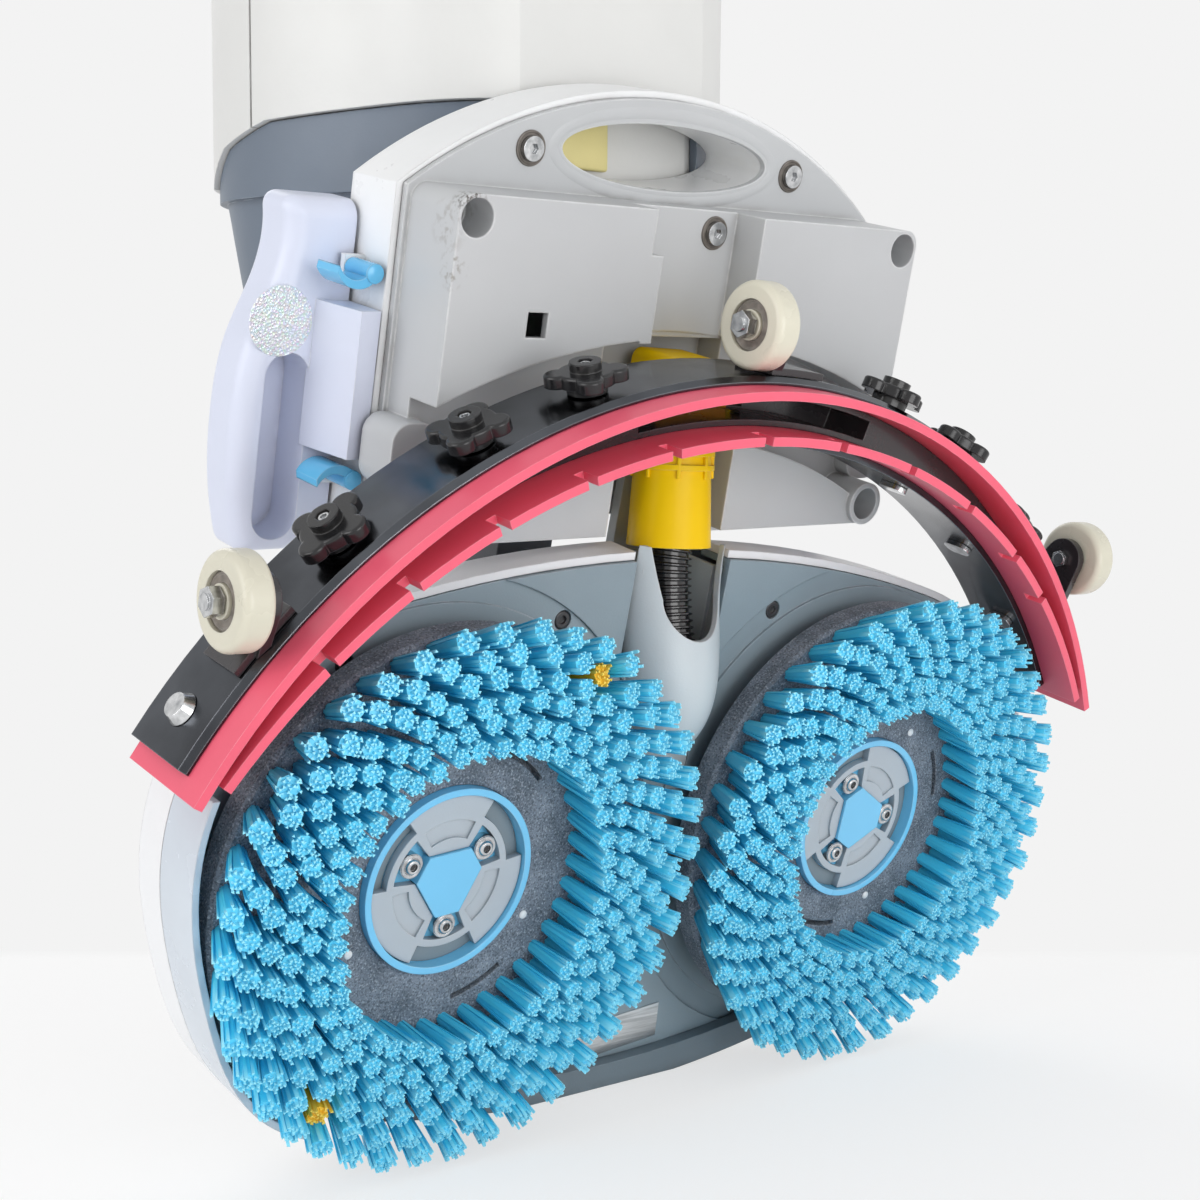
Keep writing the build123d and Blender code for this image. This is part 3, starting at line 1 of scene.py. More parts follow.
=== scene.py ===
# Compact walk-behind floor scrubber dryer in its parked stance: the machine is tipped up on
# the front edge of its deck, so both brushes and the squeegee face the viewer, and the body
# with its batteries and tanks stands folded behind them.
import json
import math
import random

import bmesh
import bpy
from mathutils import Matrix, Vector


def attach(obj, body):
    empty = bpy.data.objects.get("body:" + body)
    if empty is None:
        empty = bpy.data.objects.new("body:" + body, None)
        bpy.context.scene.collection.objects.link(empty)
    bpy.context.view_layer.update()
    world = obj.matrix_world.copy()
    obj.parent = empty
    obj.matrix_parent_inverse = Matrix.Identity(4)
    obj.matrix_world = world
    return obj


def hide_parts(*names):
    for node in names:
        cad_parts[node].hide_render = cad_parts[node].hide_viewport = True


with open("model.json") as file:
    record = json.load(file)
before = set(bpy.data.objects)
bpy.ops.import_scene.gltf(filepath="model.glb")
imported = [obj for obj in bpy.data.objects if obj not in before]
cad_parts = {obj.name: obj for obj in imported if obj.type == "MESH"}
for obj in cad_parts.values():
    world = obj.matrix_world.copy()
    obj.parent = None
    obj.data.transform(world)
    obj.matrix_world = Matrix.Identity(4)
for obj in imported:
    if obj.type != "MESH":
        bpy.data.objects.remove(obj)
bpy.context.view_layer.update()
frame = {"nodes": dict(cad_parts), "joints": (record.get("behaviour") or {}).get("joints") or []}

# Deck shell: the underside plate of the scrub deck, injection moulded in blue-grey
# polypropylene with a fine spark-eroded skin. It carries everything else, and is screwed
# up into the cover through four deep counterbores.
joint = {row["name"]: row for row in frame["joints"]}
FLOORWARD = Vector(joint["brush_left_spin"]["axis"])
ACROSS = Vector((1, 0, 0))
REARWARD = FLOORWARD.cross(ACROSS)
BRUSH_SEAT = 0.030


def frame_of(origin, across, rearward, level):
    """Matrix from places given along three directions to places on the machine."""
    return Matrix((across, rearward, level)).transposed().to_4x4() + Matrix(
        [[0, 0, 0, origin[i]] for i in range(3)] + [[0, 0, 0, 0]]
    )


left_hub = Vector(joint["brush_left_spin"]["pos_m"]) + BRUSH_SEAT * FLOORWARD
right_hub = Vector(joint["brush_right_spin"]["pos_m"]) + BRUSH_SEAT * FLOORWARD
DECK = frame_of((left_hub + right_hub) / 2, ACROSS, REARWARD, FLOORWARD)


def tint(red, green, blue):
    """Colour of a surface from the 8-bit tones seen on it."""
    shares = [c / 255 for c in (red, green, blue)]
    return tuple(((s + 0.055) / 1.055) ** 2.4 if s > 0.04 else s / 12.92 for s in shares) + (1.0,)


class Finish:
    """A surface finish: patterns in object space that feed one shader. Sizes are in metres."""

    def __init__(self, name, roughness, metallic=0.0, coat=0.0):
        self.material = bpy.data.materials.new(name)
        self.material.use_nodes = True
        self.tree = self.material.node_tree
        self.shader = self.tree.nodes["Principled BSDF"]
        self.shader.inputs["Roughness"].default_value = roughness
        self.shader.inputs["Metallic"].default_value = metallic
        self.shader.inputs["Coat Weight"].default_value = coat
        self.shader.inputs["Coat Roughness"].default_value = 0.12
        self.place = self.tree.nodes.new("ShaderNodeTexCoord").outputs["Object"]

    def feed(self, value, socket):
        """Link a pattern to a socket, or set a plain value on it."""
        if hasattr(value, "is_linked"):
            self.tree.links.new(value, socket)
        else:
            socket.default_value = value

    def noise(self, size, detail=4.0, stretch=(1, 1, 1)):
        """Cloudy pattern whose patches are about the given size, longer along small stretches."""
        lay = self.tree.nodes.new("ShaderNodeMapping")
        lay.inputs["Scale"].default_value = stretch
        self.feed(self.place, lay.inputs["Vector"])
        clouds = self.tree.nodes.new("ShaderNodeTexNoise")
        clouds.inputs["Scale"].default_value = 1 / size
        clouds.inputs["Detail"].default_value = detail
        self.feed(lay.outputs["Vector"], clouds.inputs["Vector"])
        return clouds.outputs["Fac"]

    def span(self, value, low, high, to_low=0.0, to_high=1.0):
        """Stretch part of a pattern's range over a new range."""
        node = self.tree.nodes.new("ShaderNodeMapRange")
        self.feed(value, node.inputs["Value"])
        for key, number in (("From Min", low), ("From Max", high), ("To Min", to_low), ("To Max", to_high)):
            node.inputs[key].default_value = number
        return node.outputs["Result"]

    def math(self, operation, first, second):
        node = self.tree.nodes.new("ShaderNodeMath")
        node.operation = operation
        self.feed(first, node.inputs[0])
        self.feed(second, node.inputs[1])
        return node.outputs["Value"]

    def mix(self, amount, under, over):
        """Lay one colour over another by a pattern."""
        node = self.tree.nodes.new("ShaderNodeMix")
        node.data_type = "RGBA"
        self.feed(amount, node.inputs[0])
        self.feed(under, node.inputs[6])
        self.feed(over, node.inputs[7])
        return node.outputs[2]

    def edges(self, radius):
        """Normal with softened edges, and how far it is turned from the face: 0 flat, 1 at an edge."""
        soft = self.tree.nodes.new("ShaderNodeBevel")
        soft.samples = 6
        soft.inputs["Radius"].default_value = radius
        face = self.tree.nodes.new("ShaderNodeNewGeometry")
        match = self.tree.nodes.new("ShaderNodeVectorMath")
        match.operation = "DOT_PRODUCT"
        self.feed(soft.outputs["Normal"], match.inputs[0])
        self.feed(face.outputs["Normal"], match.inputs[1])
        return soft.outputs["Normal"], self.span(match.outputs["Value"], 0.995, 0.85)

    def crevices(self, reach):
        """Pattern that rises where other surfaces stand close."""
        node = self.tree.nodes.new("ShaderNodeAmbientOcclusion")
        node.samples = 6
        node.inputs["Distance"].default_value = reach
        return self.span(node.outputs["AO"], 0.75, 0.25)

    def near(self, place, radius):
        """Pattern that rises round one place on the machine."""
        gap = self.tree.nodes.new("ShaderNodeVectorMath")
        gap.operation = "DISTANCE"
        gap.inputs[1].default_value = place
        self.feed(self.place, gap.inputs[0])
        return self.span(gap.outputs["Value"], radius, radius * 0.35)

    def bump(self, height, depth, normal=None, strength=1.0):
        node = self.tree.nodes.new("ShaderNodeBump")
        node.inputs["Strength"].default_value = strength
        node.inputs["Distance"].default_value = depth
        self.feed(height, node.inputs["Height"])
        if normal:
            self.feed(normal, node.inputs["Normal"])
        return node.outputs["Normal"]


def moulded(name, colour, roughness, clouds=0.05, patch=0.09, grain=0.00005, grain_size=0.0009,
            soft=0.0008, edge_wear_and_highlight=None, edge_wear_and_highlight_share=0.6, even=0.0, crevice_dirt_and_shade=None, crevice_dirt_and_shade_share=0.5, reach=0.006,
            coat=0.0, scuffs=()):
    """Moulded plastic or rubber: uneven tone, fine skin, soft edges, edges lightened as rubbed wear and,
    where even is set, as painted highlight, and corners darkened as dirt and as painted shade.
    """
    finish = Finish(name, roughness, coat=coat)
    cloud = finish.noise(patch, 6.0)
    pale = tuple(min(1.0, c * (1 + clouds)) for c in colour[:3]) + (1.0,)
    deep = tuple(c * (1 - clouds) for c in colour[:3]) + (1.0,)
    base = finish.mix(finish.span(cloud, 0.35, 0.65), deep, pale)
    normal, edge = finish.edges(soft)
    # Corner darkening from an occlusion mask: brown tones are dirt, and darker copies of the base colour are
    # painted shade.
    if crevice_dirt_and_shade:
        dirt_and_shade_mask = finish.math("MULTIPLY", finish.crevices(reach), finish.span(finish.noise(0.02), 0.3, 0.6))
        base = finish.mix(finish.math("MULTIPLY", dirt_and_shade_mask, crevice_dirt_and_shade_share), base, crevice_dirt_and_shade)
    # Edge lightening: patchy rubbed wear; with even set, every edge is lightened as a painted highlight.
    if edge_wear_and_highlight:
        wear_and_highlight_mask = finish.math("MULTIPLY", edge, finish.span(finish.noise(0.007), 0.4, 0.6, even))
        base = finish.mix(finish.math("MULTIPLY", wear_and_highlight_mask, edge_wear_and_highlight_share), base, edge_wear_and_highlight)
    for place, radius, size, share, mark in scuffs:
        patch_edge = finish.math("MULTIPLY", finish.near(place, radius), share)
        scrape = finish.span(finish.noise(size, 5.0), 0.5, 0.62)
        base = finish.mix(finish.math("MULTIPLY", patch_edge, scrape), base, mark)
    finish.feed(base, finish.shader.inputs["Base Color"])
    finish.feed(finish.bump(finish.noise(grain_size, 2.0), grain, normal), finish.shader.inputs["Normal"])
    shine = finish.span(finish.noise(0.03), 0.3, 0.7, roughness - 0.06, roughness + 0.08)
    finish.feed(shine, finish.shader.inputs["Roughness"])
    return finish.material


def dress(material, *names):
    """Give CAD pieces their finish."""
    for name in names:
        for slot in frame["nodes"][name].material_slots:
            slot.material = material


def piece(name, bm, material, body, slot, *stands_for):
    """Finish a mesh as one piece that moves with a body."""
    for face in bm.faces:
        face.smooth = True
    mesh = bpy.data.meshes.new(name)
    bm.to_mesh(mesh)
    bm.free()
    mesh.set_sharp_from_angle(angle=math.radians(38))
    mesh.materials.append(material)
    made = bpy.data.objects.new(name, mesh)
    bpy.context.scene.collection.objects.link(made)
    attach(made, body)
    if stands_for:
        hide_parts(*stands_for)


def turned(bm, place, outline, steps=32, ring=False):
    """Round shape: an outline of (radius, height) points turned about the place's third axis."""
    before = set(bm.verts)
    points = [bm.verts.new((radius, 0, height)) for radius, height in outline]
    pairs = list(zip(points, points[1:] + points[:1])) if ring else list(zip(points, points[1:]))
    lines = [bm.edges.new(pair) for pair in pairs]
    bmesh.ops.spin(bm, geom=points + lines, axis=(0, 0, 1), cent=(0, 0, 0), angle=2 * math.pi, steps=steps,
                   use_merge=True)
    bmesh.ops.remove_doubles(bm, verts=[v for v in bm.verts if v not in before], dist=1e-6)
    made = [v for v in bm.verts if v not in before]
    bmesh.ops.recalc_face_normals(bm, faces=list({f for v in made for f in v.link_faces}))
    bmesh.ops.transform(bm, matrix=place, verts=made)


def block(bm, place, size, edge):
    """Block with rounded edges, centred on a place."""
    made = bmesh.ops.create_cube(bm, size=1.0, matrix=place @ Matrix.Diagonal((*size, 1.0)))["verts"]
    bmesh.ops.bevel(bm, geom=list({e for v in made for e in v.link_edges}), offset=edge, affect="EDGES",
                    segments=3, profile=0.5, material=-1)


SOIL = tint(96, 84, 70)
# The deck's crevice darkening is painted shade: a darker copy of its own blue-grey where parts stand close.
deck_grey = moulded("deck_grey", tint(142, 158, 167), 0.42, clouds=0.08, edge_wear_and_highlight=tint(190, 200, 208),
                    crevice_dirt_and_shade=tint(66, 72, 76), crevice_dirt_and_shade_share=0.55)
dress(deck_grey, "deck_shell")
# Dark steel: the deck screws' own dark finish; on the hub screw sockets the same finish is painted shade.
dark_steel_and_socket_shade = moulded("dark_steel_and_socket_shade", tint(58, 58, 60), 0.34, clouds=0.2, grain=0.00002,
                     edge_wear_and_highlight=tint(150, 150, 152))
deck_screws = bmesh.new()
for across, rearward in ((-0.061, 0.097), (0.061, 0.097), (-0.165, 0.084), (0.165, 0.084)):
    seat = DECK @ Matrix.Translation((across, rearward, -0.0293))
    turned(deck_screws, seat, ((0.0039, 0), (0.0039, 0.0014), (0.0034, 0.0018), (0.0019, 0.0018),
                               (0.0017, 0.0006), (0, 0.0005)))
piece("deck_screws", deck_screws, dark_steel_and_socket_shade, "deck", "screw_steel")

# Blank plate: brushed silver foil glued to the deck near its front edge, left unprinted.
plate_silver = Finish("plate_silver", 0.32, metallic=0.85)
foil = plate_silver.mix(plate_silver.span(plate_silver.noise(0.0012, 3.0, (0.06, 1, 1)), 0.35, 0.65),
                        tint(176, 180, 182), tint(214, 217, 219))
plate_silver.feed(foil, plate_silver.shader.inputs["Base Color"])
blank_plate = bmesh.new()
block(blank_plate, DECK @ Matrix.Translation((0.0103, -0.104, -0.0258)) @ Matrix.Rotation(0.09, 4, "Z"),
      (0.051, 0.0175, 0.0004), 0.00015)
piece("blank_plate", blank_plate, plate_silver.material, "deck", "screw_steel")

# Top cover: the white lid over the deck, vacuum formed with a straight rim that shows round
# the underside plate, scuffed along that rim by skirting boards.
cover_white = moulded("cover_white", tint(238, 239, 241), 0.34, clouds=0.03, edge_wear_and_highlight=tint(150, 152, 154),
                      edge_wear_and_highlight_share=0.35, crevice_dirt_and_shade=SOIL, crevice_dirt_and_shade_share=0.5)
dress(cover_white, "top_cover")

# Hose scoop: light grey moulding sunk in the deck between the brushes, with a swelling hood
# over its lower end. The suction hose turns down into it.
# The scoop's crevice darkening is painted shade: a darker grey for the shaded inside of the scoop.
scoop_grey = moulded("scoop_grey", tint(198, 208, 213), 0.36, clouds=0.05, edge_wear_and_highlight=tint(236, 238, 240),
                     crevice_dirt_and_shade=tint(104, 106, 106), crevice_dirt_and_shade_share=0.6, reach=0.012)
dress(scoop_grey, "hose_channel")

# Side skirts: smooth splash walls outside each brush, glossy silver-blue, clipped to the deck.
# The skirts' crevice darkening is painted shade in a darker copy of their blue-grey.
skirt_silver = moulded("skirt_silver", tint(204, 213, 223), 0.24, clouds=0.07, grain=0.00001,
                       edge_wear_and_highlight=tint(226, 232, 238), crevice_dirt_and_shade=tint(70, 74, 80), coat=0.3)
dress(skirt_silver, "side_skirts")

# Front bumper: tough blue-grey lip moulded on the front edge, on which the parked machine stands.
# The bumper's crevice darkening is painted shade in a darker copy of its blue-grey.
bumper_grey = moulded("bumper_grey", tint(108, 122, 131), 0.5, clouds=0.1, grain=0.0001,
                      edge_wear_and_highlight=tint(158, 168, 176), crevice_dirt_and_shade=tint(58, 62, 66), crevice_dirt_and_shade_share=0.6)
dress(bumper_grey, "front_bumper")

# Drives and frame: cast brush motors under the cover, the steel yoke that carries the fold
# pin, and the fork of the transport wheels, powder coated.
motor_metal = moulded("motor_metal", tint(92, 95, 99), 0.5, clouds=0.1, grain=0.0001, grain_size=0.0015)
frame_steel = moulded("frame_steel", tint(70, 73, 78), 0.44, clouds=0.08, grain=0.00008,
                      edge_wear_and_highlight=tint(150, 150, 150))
dress(motor_metal, "brush_motors", "vacuum_motor")
dress(frame_steel, "fold_yoke", "wheel_fork", "swivel_block", "fold_neck", "spine_tube")

# Brush plates: pressed from grey granulate of mixed scrap plastic, so the face is speckled
# and coarse like felt, with punched slots; the hub is locked into its middle.
plate_finish = Finish("brush_granulate", 0.7)
coarse = plate_finish.span(plate_finish.noise(0.014, 5.0), 0.35, 0.7)
granulate = plate_finish.mix(coarse, tint(98, 108, 119), tint(134, 144, 156))
pale_speck = plate_finish.span(plate_finish.noise(0.0009, 3.0), 0.53, 0.68)
granulate = plate_finish.mix(plate_finish.math("MULTIPLY", pale_speck, 0.6), granulate, tint(188, 196, 206))
dark_speck = plate_finish.span(plate_finish.noise(0.0011, 3.0, (1.3, 1.1, 1.2)), 0.49, 0.38)
granulate = plate_finish.mix(plate_finish.math("MULTIPLY", dark_speck, 0.6), granulate, tint(46, 52, 60))
plate_normal, plate_edge_highlight = plate_finish.edges(0.0008)
# Every edge of the plate is lightened alike: a painted highlight.
granulate = plate_finish.mix(plate_finish.math("MULTIPLY", plate_edge_highlight, 0.35), granulate, tint(160, 162, 168))
plate_finish.feed(granulate, plate_finish.shader.inputs["Base Color"])
plate_bump = plate_finish.bump(plate_finish.noise(0.0013, 4.0), 0.0006, plate_normal)
plate_finish.feed(plate_bump, plate_finish.shader.inputs["Normal"])
dress(plate_finish.material, "brush_plate_left", "brush_plate_right")

# Brush hubs: glossy blue drive couplings with a grey bayonet lock, held by recessed steel
# screws with washers. Three white pins beside each hub hold the plate.
HUB_PHASES = {"left": 36, "right": -2}
HUB_FLOOR_LEVEL = -0.00599
SCREW_CIRCLE = 0.020
SCREW_LEVEL = -0.0022
PIN_CIRCLE = 0.0486
PIN_LEVEL = -0.0042
PIN_TURN = 57
FLOOR_OUTLINE = ((0.0288, 0), (0.0288, 0.0003), (0.0362, 0.0003), (0.0362, 0))
HEAD_OUTLINE = ((0.0050, 0), (0.0049, 0.0004), (0.0038, 0.0005), (0.0034, 0.0002), (0.0032, 0.0011),
                (0.0026, 0.0016), (0.0017, 0.0016), (0.0016, 0.0004), (0, 0.0003))
SOCKET_OUTLINE = ((0.00158, 0.0004), (0.00155, 0.0006), (0.0008, 0.0006), (0, 0.0005))
PIN_OUTLINE = ((0.0019, 0), (0.0018, 0.0005), (0.0012, 0.0009), (0, 0.001))
# The coupling's crevice darkening is painted shade in a darker blue, deepest in the windows round the screws.
hub_blue = moulded("hub_blue", tint(118, 202, 244), 0.2, clouds=0.05, grain=0.00001, edge_wear_and_highlight=tint(184, 230, 250),
                   crevice_dirt_and_shade=tint(40, 96, 128), crevice_dirt_and_shade_share=0.2, coat=0.4)
# The lock's evenly lightened edges are painted highlight lines, and its darker grey in crevices is painted
# shade; the wheel hub caps share this finish.
lock_grey = moulded("lock_grey", tint(180, 189, 197), 0.36, clouds=0.04, edge_wear_and_highlight=tint(228, 233, 237), even=0.5,
                    crevice_dirt_and_shade=tint(74, 82, 90), crevice_dirt_and_shade_share=0.7)
steel = Finish("screw_steel", 0.2, metallic=1.0)
brushed = steel.mix(steel.span(steel.noise(0.004), 0.3, 0.7), tint(168, 170, 172), tint(224, 225, 226))
steel.feed(brushed, steel.shader.inputs["Base Color"])
steel.feed(steel.edges(0.0004)[0], steel.shader.inputs["Normal"])
screw_steel = steel.material
dress(hub_blue, "brush_coupling_left", "brush_coupling_right", "filler_cap")
dress(lock_grey, "hub_lock_left", "hub_lock_right")
dress(screw_steel, "hub_screws_left", "hub_screws_right", "chassis_screws", "squeegee_fasteners")
# Hub floor: a grey ring laid between the lock's lugs; its darker tone and its crevice darkening are painted
# shade of that gap.
floor_grey = moulded("floor_grey", tint(128, 142, 150), 0.4, clouds=0.08, crevice_dirt_and_shade=tint(60, 68, 74),
                     crevice_dirt_and_shade_share=0.5)
pin_white = moulded("pin_white", tint(232, 234, 236), 0.4, clouds=0.06, patch=0.004)
for side, hub in (("left", left_hub), ("right", right_hub)):
    seat = frame_of(hub, ACROSS, REARWARD, FLOORWARD)
    hub_floor = bmesh.new()
    turned(hub_floor, seat @ Matrix.Translation((0, 0, HUB_FLOOR_LEVEL)), FLOOR_OUTLINE, 72, ring=True)
    piece(f"hub_floor_{side}", hub_floor, floor_grey, f"brush_{side}", "lock_grey")
    screw_heads = bmesh.new()
    screw_sockets = bmesh.new()
    plate_pins = bmesh.new()
    for k in range(3):
        angle = math.radians(HUB_PHASES[side] + 120 * k)
        screw = (SCREW_CIRCLE * math.cos(angle), SCREW_CIRCLE * math.sin(angle), SCREW_LEVEL)
        turned(screw_heads, seat @ Matrix.Translation(screw), HEAD_OUTLINE, 28)
        turned(screw_sockets, seat @ Matrix.Translation(screw), SOCKET_OUTLINE, 6)
        angle = math.radians(HUB_PHASES[side] + PIN_TURN + 120 * k)
        pin = (PIN_CIRCLE * math.cos(angle), PIN_CIRCLE * math.sin(angle), PIN_LEVEL)
        turned(plate_pins, seat @ Matrix.Translation(pin), PIN_OUTLINE, 16)
    piece(f"hub_screw_heads_{side}", screw_heads, screw_steel, f"brush_{side}", "screw_steel")
    # Dark socket discs in the screw heads' recesses: painted shade of the sockets.
    piece(f"hub_sockets_{side}", screw_sockets, dark_steel_and_socket_shade, f"brush_{side}", "screw_steel")
    piece(f"plate_pins_{side}", plate_pins, pin_white, f"brush_{side}", "screw_steel")

# Bristles: round tufts of light blue nylon filament, stapled into the plate in six rings of
# forty and splayed outward by use. Their roots are painted darker as shade, and their cut tips
# paler, partly as frayed ends and partly as painted light. Two shorter tufts on the left brush
# are yellow wear markers.
TUFT_RINGS = 6
TUFTS_PER_RING = 40
TUFT_INNER = 0.064
TUFT_PITCH = 0.0068
TUFT_SPLAY = 0.0125
TUFT_ROOT = -0.0045
TUFT_TIP = 0.022
TUFT_FOOT_RADIUS = 0.0027
TUFT_TOP_RADIUS = 0.0044
FILAMENT = 0.00064
STRANDS = 28
TUFT_FLARE = 0.03
MARKER_LENGTH = 0.86


def strand_rod(bm, layers, foot, top, sides, foot_radius, top_radius, shade, tip):
    """One tapered rod from its foot to its cut tip, with its shade and height written on it."""
    run = top - foot
    rod = bmesh.ops.create_circle(bm, cap_ends=False, segments=sides, radius=foot_radius)["verts"]
    grown = bmesh.ops.extrude_edge_only(bm, edges=list({e for v in rod for e in v.link_edges}))["geom"]
    end = [g for g in grown if isinstance(g, bmesh.types.BMVert)]
    wider = top_radius / foot_radius
    raise_end = Matrix.Translation((0, 0, run.length)) @ Matrix.Diagonal((wider, wider, 1, 1))
    bmesh.ops.transform(bm, matrix=raise_end, verts=end)
    bmesh.ops.contextual_create(bm, geom=end)
    for v in rod + end:
        v[layers[0]] = tip if v.co.z > 0 else 0.0
        v[layers[1]] = shade
    turn = run.to_track_quat("Z", "Y").to_matrix().to_4x4()
    bmesh.ops.transform(bm, matrix=Matrix.Translation(foot) @ turn, verts=rod + end)


def tuft_mesh(seed):
    """A flared bundle of strands that stands on the origin, round a short core; lengths differ a little."""
    chance = random.Random(seed)
    bm = bmesh.new()
    layers = (bm.verts.layers.float.new("tip"), bm.verts.layers.float.new("shade"))
    height = TUFT_TIP - TUFT_ROOT
    strand_rod(bm, layers, Vector(), Vector((0, 0, height * 0.9)), 7, TUFT_FOOT_RADIUS,
               TUFT_TOP_RADIUS * 0.88, 0.6, 0.8)
    for strand in range(STRANDS):
        reach = math.sqrt((strand + 0.7) / STRANDS)
        angle = strand * 2.39996 + chance.uniform(-0.25, 0.25)
        way = Vector((math.cos(angle), math.sin(angle), 0))
        stray = chance.uniform(0.86, 1.14)
        top = way * reach * stray * TUFT_TOP_RADIUS + Vector((0, 0, height * chance.uniform(0.91, 1.0)))
        strand_rod(bm, layers, way * reach * TUFT_FOOT_RADIUS, top, 3, FILAMENT,
                   FILAMENT * chance.uniform(0.9, 1.15), chance.random(), 1.0)
    bmesh.ops.recalc_face_normals(bm, faces=bm.faces)
    mesh = bpy.data.meshes.new("tuft")
    bm.to_mesh(mesh)
    bm.free()
    return mesh


def bristle_finish(name, shaft, cut_tip_and_highlight):
    """Nylon filament: darker at the root as painted shade, paler along the shaft, palest at the cut tips,
    partly from their frayed ends and partly as painted light.
    """
    finish = Finish(name, 0.36)
    along = finish.tree.nodes.new("ShaderNodeAttribute")
    along.attribute_name = "tip"
    shade = finish.tree.nodes.new("ShaderNodeAttribute")
    shade.attribute_name = "shade"
    # deep is painted shade at the roots; the pale tip colour is partly frayed cut ends and partly painted
    # light.
    deep = tuple(c * 0.88 for c in shaft[:3]) + (1.0,)
    dim = tuple(c * 0.86 for c in shaft[:3]) + (1.0,)
    strand = finish.mix(shade.outputs["Fac"], dim, shaft)
    base = finish.mix(finish.span(along.outputs["Fac"], 0.0, 0.6), deep, strand)
    base = finish.mix(finish.span(along.outputs["Fac"], 0.72, 1.0), base, cut_tip_and_highlight)
    finish.feed(base, finish.shader.inputs["Base Color"])
    return finish.material


tufts = [tuft_mesh(seed) for seed in range(8)]
wear_marks = {("left", 4, 7), ("left", 4, 26)}
bristle_blue = bristle_finish("bristle_blue", tint(78, 218, 255), tint(150, 234, 255))
bristle_yellow = bristle_finish("bristle_yellow", tint(240, 190, 40), tint(250, 216, 90))
for side, hub in (("left", left_hub), ("right", right_hub)):
    chance = random.Random(side)
    bm = bmesh.new()
    marker = bmesh.new()
    for ring in range(TUFT_RINGS):
        for k in range(TUFTS_PER_RING):
            angle = 2 * math.pi / TUFTS_PER_RING * (k + 0.5 * (ring % 2))
            out = math.cos(angle) * ACROSS + math.sin(angle) * REARWARD
            radius = TUFT_INNER + TUFT_PITCH * ring
            foot = hub + out * radius + FLOORWARD * TUFT_ROOT
            lean = TUFT_SPLAY * ring / (TUFT_RINGS - 1) + chance.uniform(-0.0012, 0.0012)
            drift = FLOORWARD.cross(out) * chance.uniform(-0.0014, 0.0014)
            up = (FLOORWARD * (TUFT_TIP - TUFT_ROOT) + out * lean + drift)
            worn_off = MARKER_LENGTH if (side, ring, k) in wear_marks else 1.0
            stretch = worn_off * up.length / (TUFT_TIP - TUFT_ROOT)
            turn = up.to_track_quat("Z", "Y").to_matrix().to_4x4()
            spin = Matrix.Rotation(chance.uniform(0, 2 * math.pi), 4, "Z")
            tuft = chance.choice(tufts).copy()
            flare = 1 + TUFT_FLARE * ring
            grow = Matrix.Diagonal((flare, flare, stretch, 1))
            tuft.transform(Matrix.Translation(foot) @ turn @ spin @ grow)
            (marker if (side, ring, k) in wear_marks else bm).from_mesh(tuft)
            bpy.data.meshes.remove(tuft)
    for name, tuft_set, finish in (
        ("bristle_tufts_", bm, bristle_blue),
        ("wear_marker_", marker, bristle_yellow),
    ):
        if tuft_set.verts:
            mesh = bpy.data.meshes.new(name + side)
            tuft_set.to_mesh(mesh)
            mesh.materials.append(finish)
            bunch = bpy.data.objects.new(name + side, mesh)
            bpy.context.scene.collection.objects.link(bunch)
            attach(bunch, "brush_" + side)
            if finish == bristle_blue:
                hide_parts("bristles_" + side)
        tuft_set.free()
for mesh in tufts:
    bpy.data.meshes.remove(mesh)

# Suction hose: short length of wire-wound black hose, soft PVC over a spring, pushed into the
# cuff on the squeegee at one end and into the scoop's port at the other.
HOSE_CREST = 0.0105
HOSE_ROOT = 0.0091
HOSE_PITCH = 0.0031
HOSE_ROUTE = ((0.125, -0.038), (0.0936, -0.0319), (0.066, -0.012), (0.066, -0.055))
hose_line = bpy.data.curves.new("hose_line", "CURVE")
hose_line.dimensions = "3D"
hose_line.resolution_u = 64
spline = hose_line.splines.new("NURBS")
spline.points.add(len(HOSE_ROUTE) - 1)
for point, (rearward, level) in zip(spline.points, HOSE_ROUTE):
    point.co = (DECK @ Vector((0, rearward, level))).to_4d()
spline.order_u = 3
spline.use_endpoint_u = True
line_object = bpy.data.objects.new("hose_line", hose_line)
line_mesh = bpy.data.meshes.new_from_object(line_object)
track = [v.co.copy() for v in line_mesh.vertices]
bpy.data.objects.remove(line_object)
bpy.data.meshes.remove(line_mesh)
travelled = [0.0]
for first, second in zip(track, track[1:]):
    travelled.append(travelled[-1] + (second - first).length)
hose_bm = bmesh.new()
loops = []
RIB_STEPS = ((0.0, HOSE_ROOT), (0.25, HOSE_ROOT), (0.42, HOSE_CREST), (0.62, HOSE_CREST), (0.8, HOSE_ROOT))
ribs = int(travelled[-1] / HOSE_PITCH)
for rib in range(ribs):
    for share, radius in RIB_STEPS:
        gone = (rib + share) * travelled[-1] / ribs
        i = max(k for k in range(len(track) - 1) if travelled[k] <= gone)
        part = (gone - travelled[i]) / (travelled[i + 1] - travelled[i])
        spot = track[i].lerp(track[i + 1], part)
        heading = (track[i + 1] - track[i]).to_track_quat("Z", "X").to_matrix().to_4x4()
        ring = bmesh.ops.create_circle(hose_bm, cap_ends=False, segments=36, radius=radius)["verts"]
        bmesh.ops.transform(hose_bm, matrix=Matrix.Translation(spot) @ heading, verts=ring)
        loops.append(list({e for v in ring for e in v.link_edges}))
for first, second in zip(loops, loops[1:]):
    bmesh.ops.bridge_loops(hose_bm, edges=first + second)
for end in (loops[0], loops[-1]):
    bmesh.ops.edgenet_fill(hose_bm, edges=end)
bmesh.ops.recalc_face_normals(hose_bm, faces=hose_bm.faces)
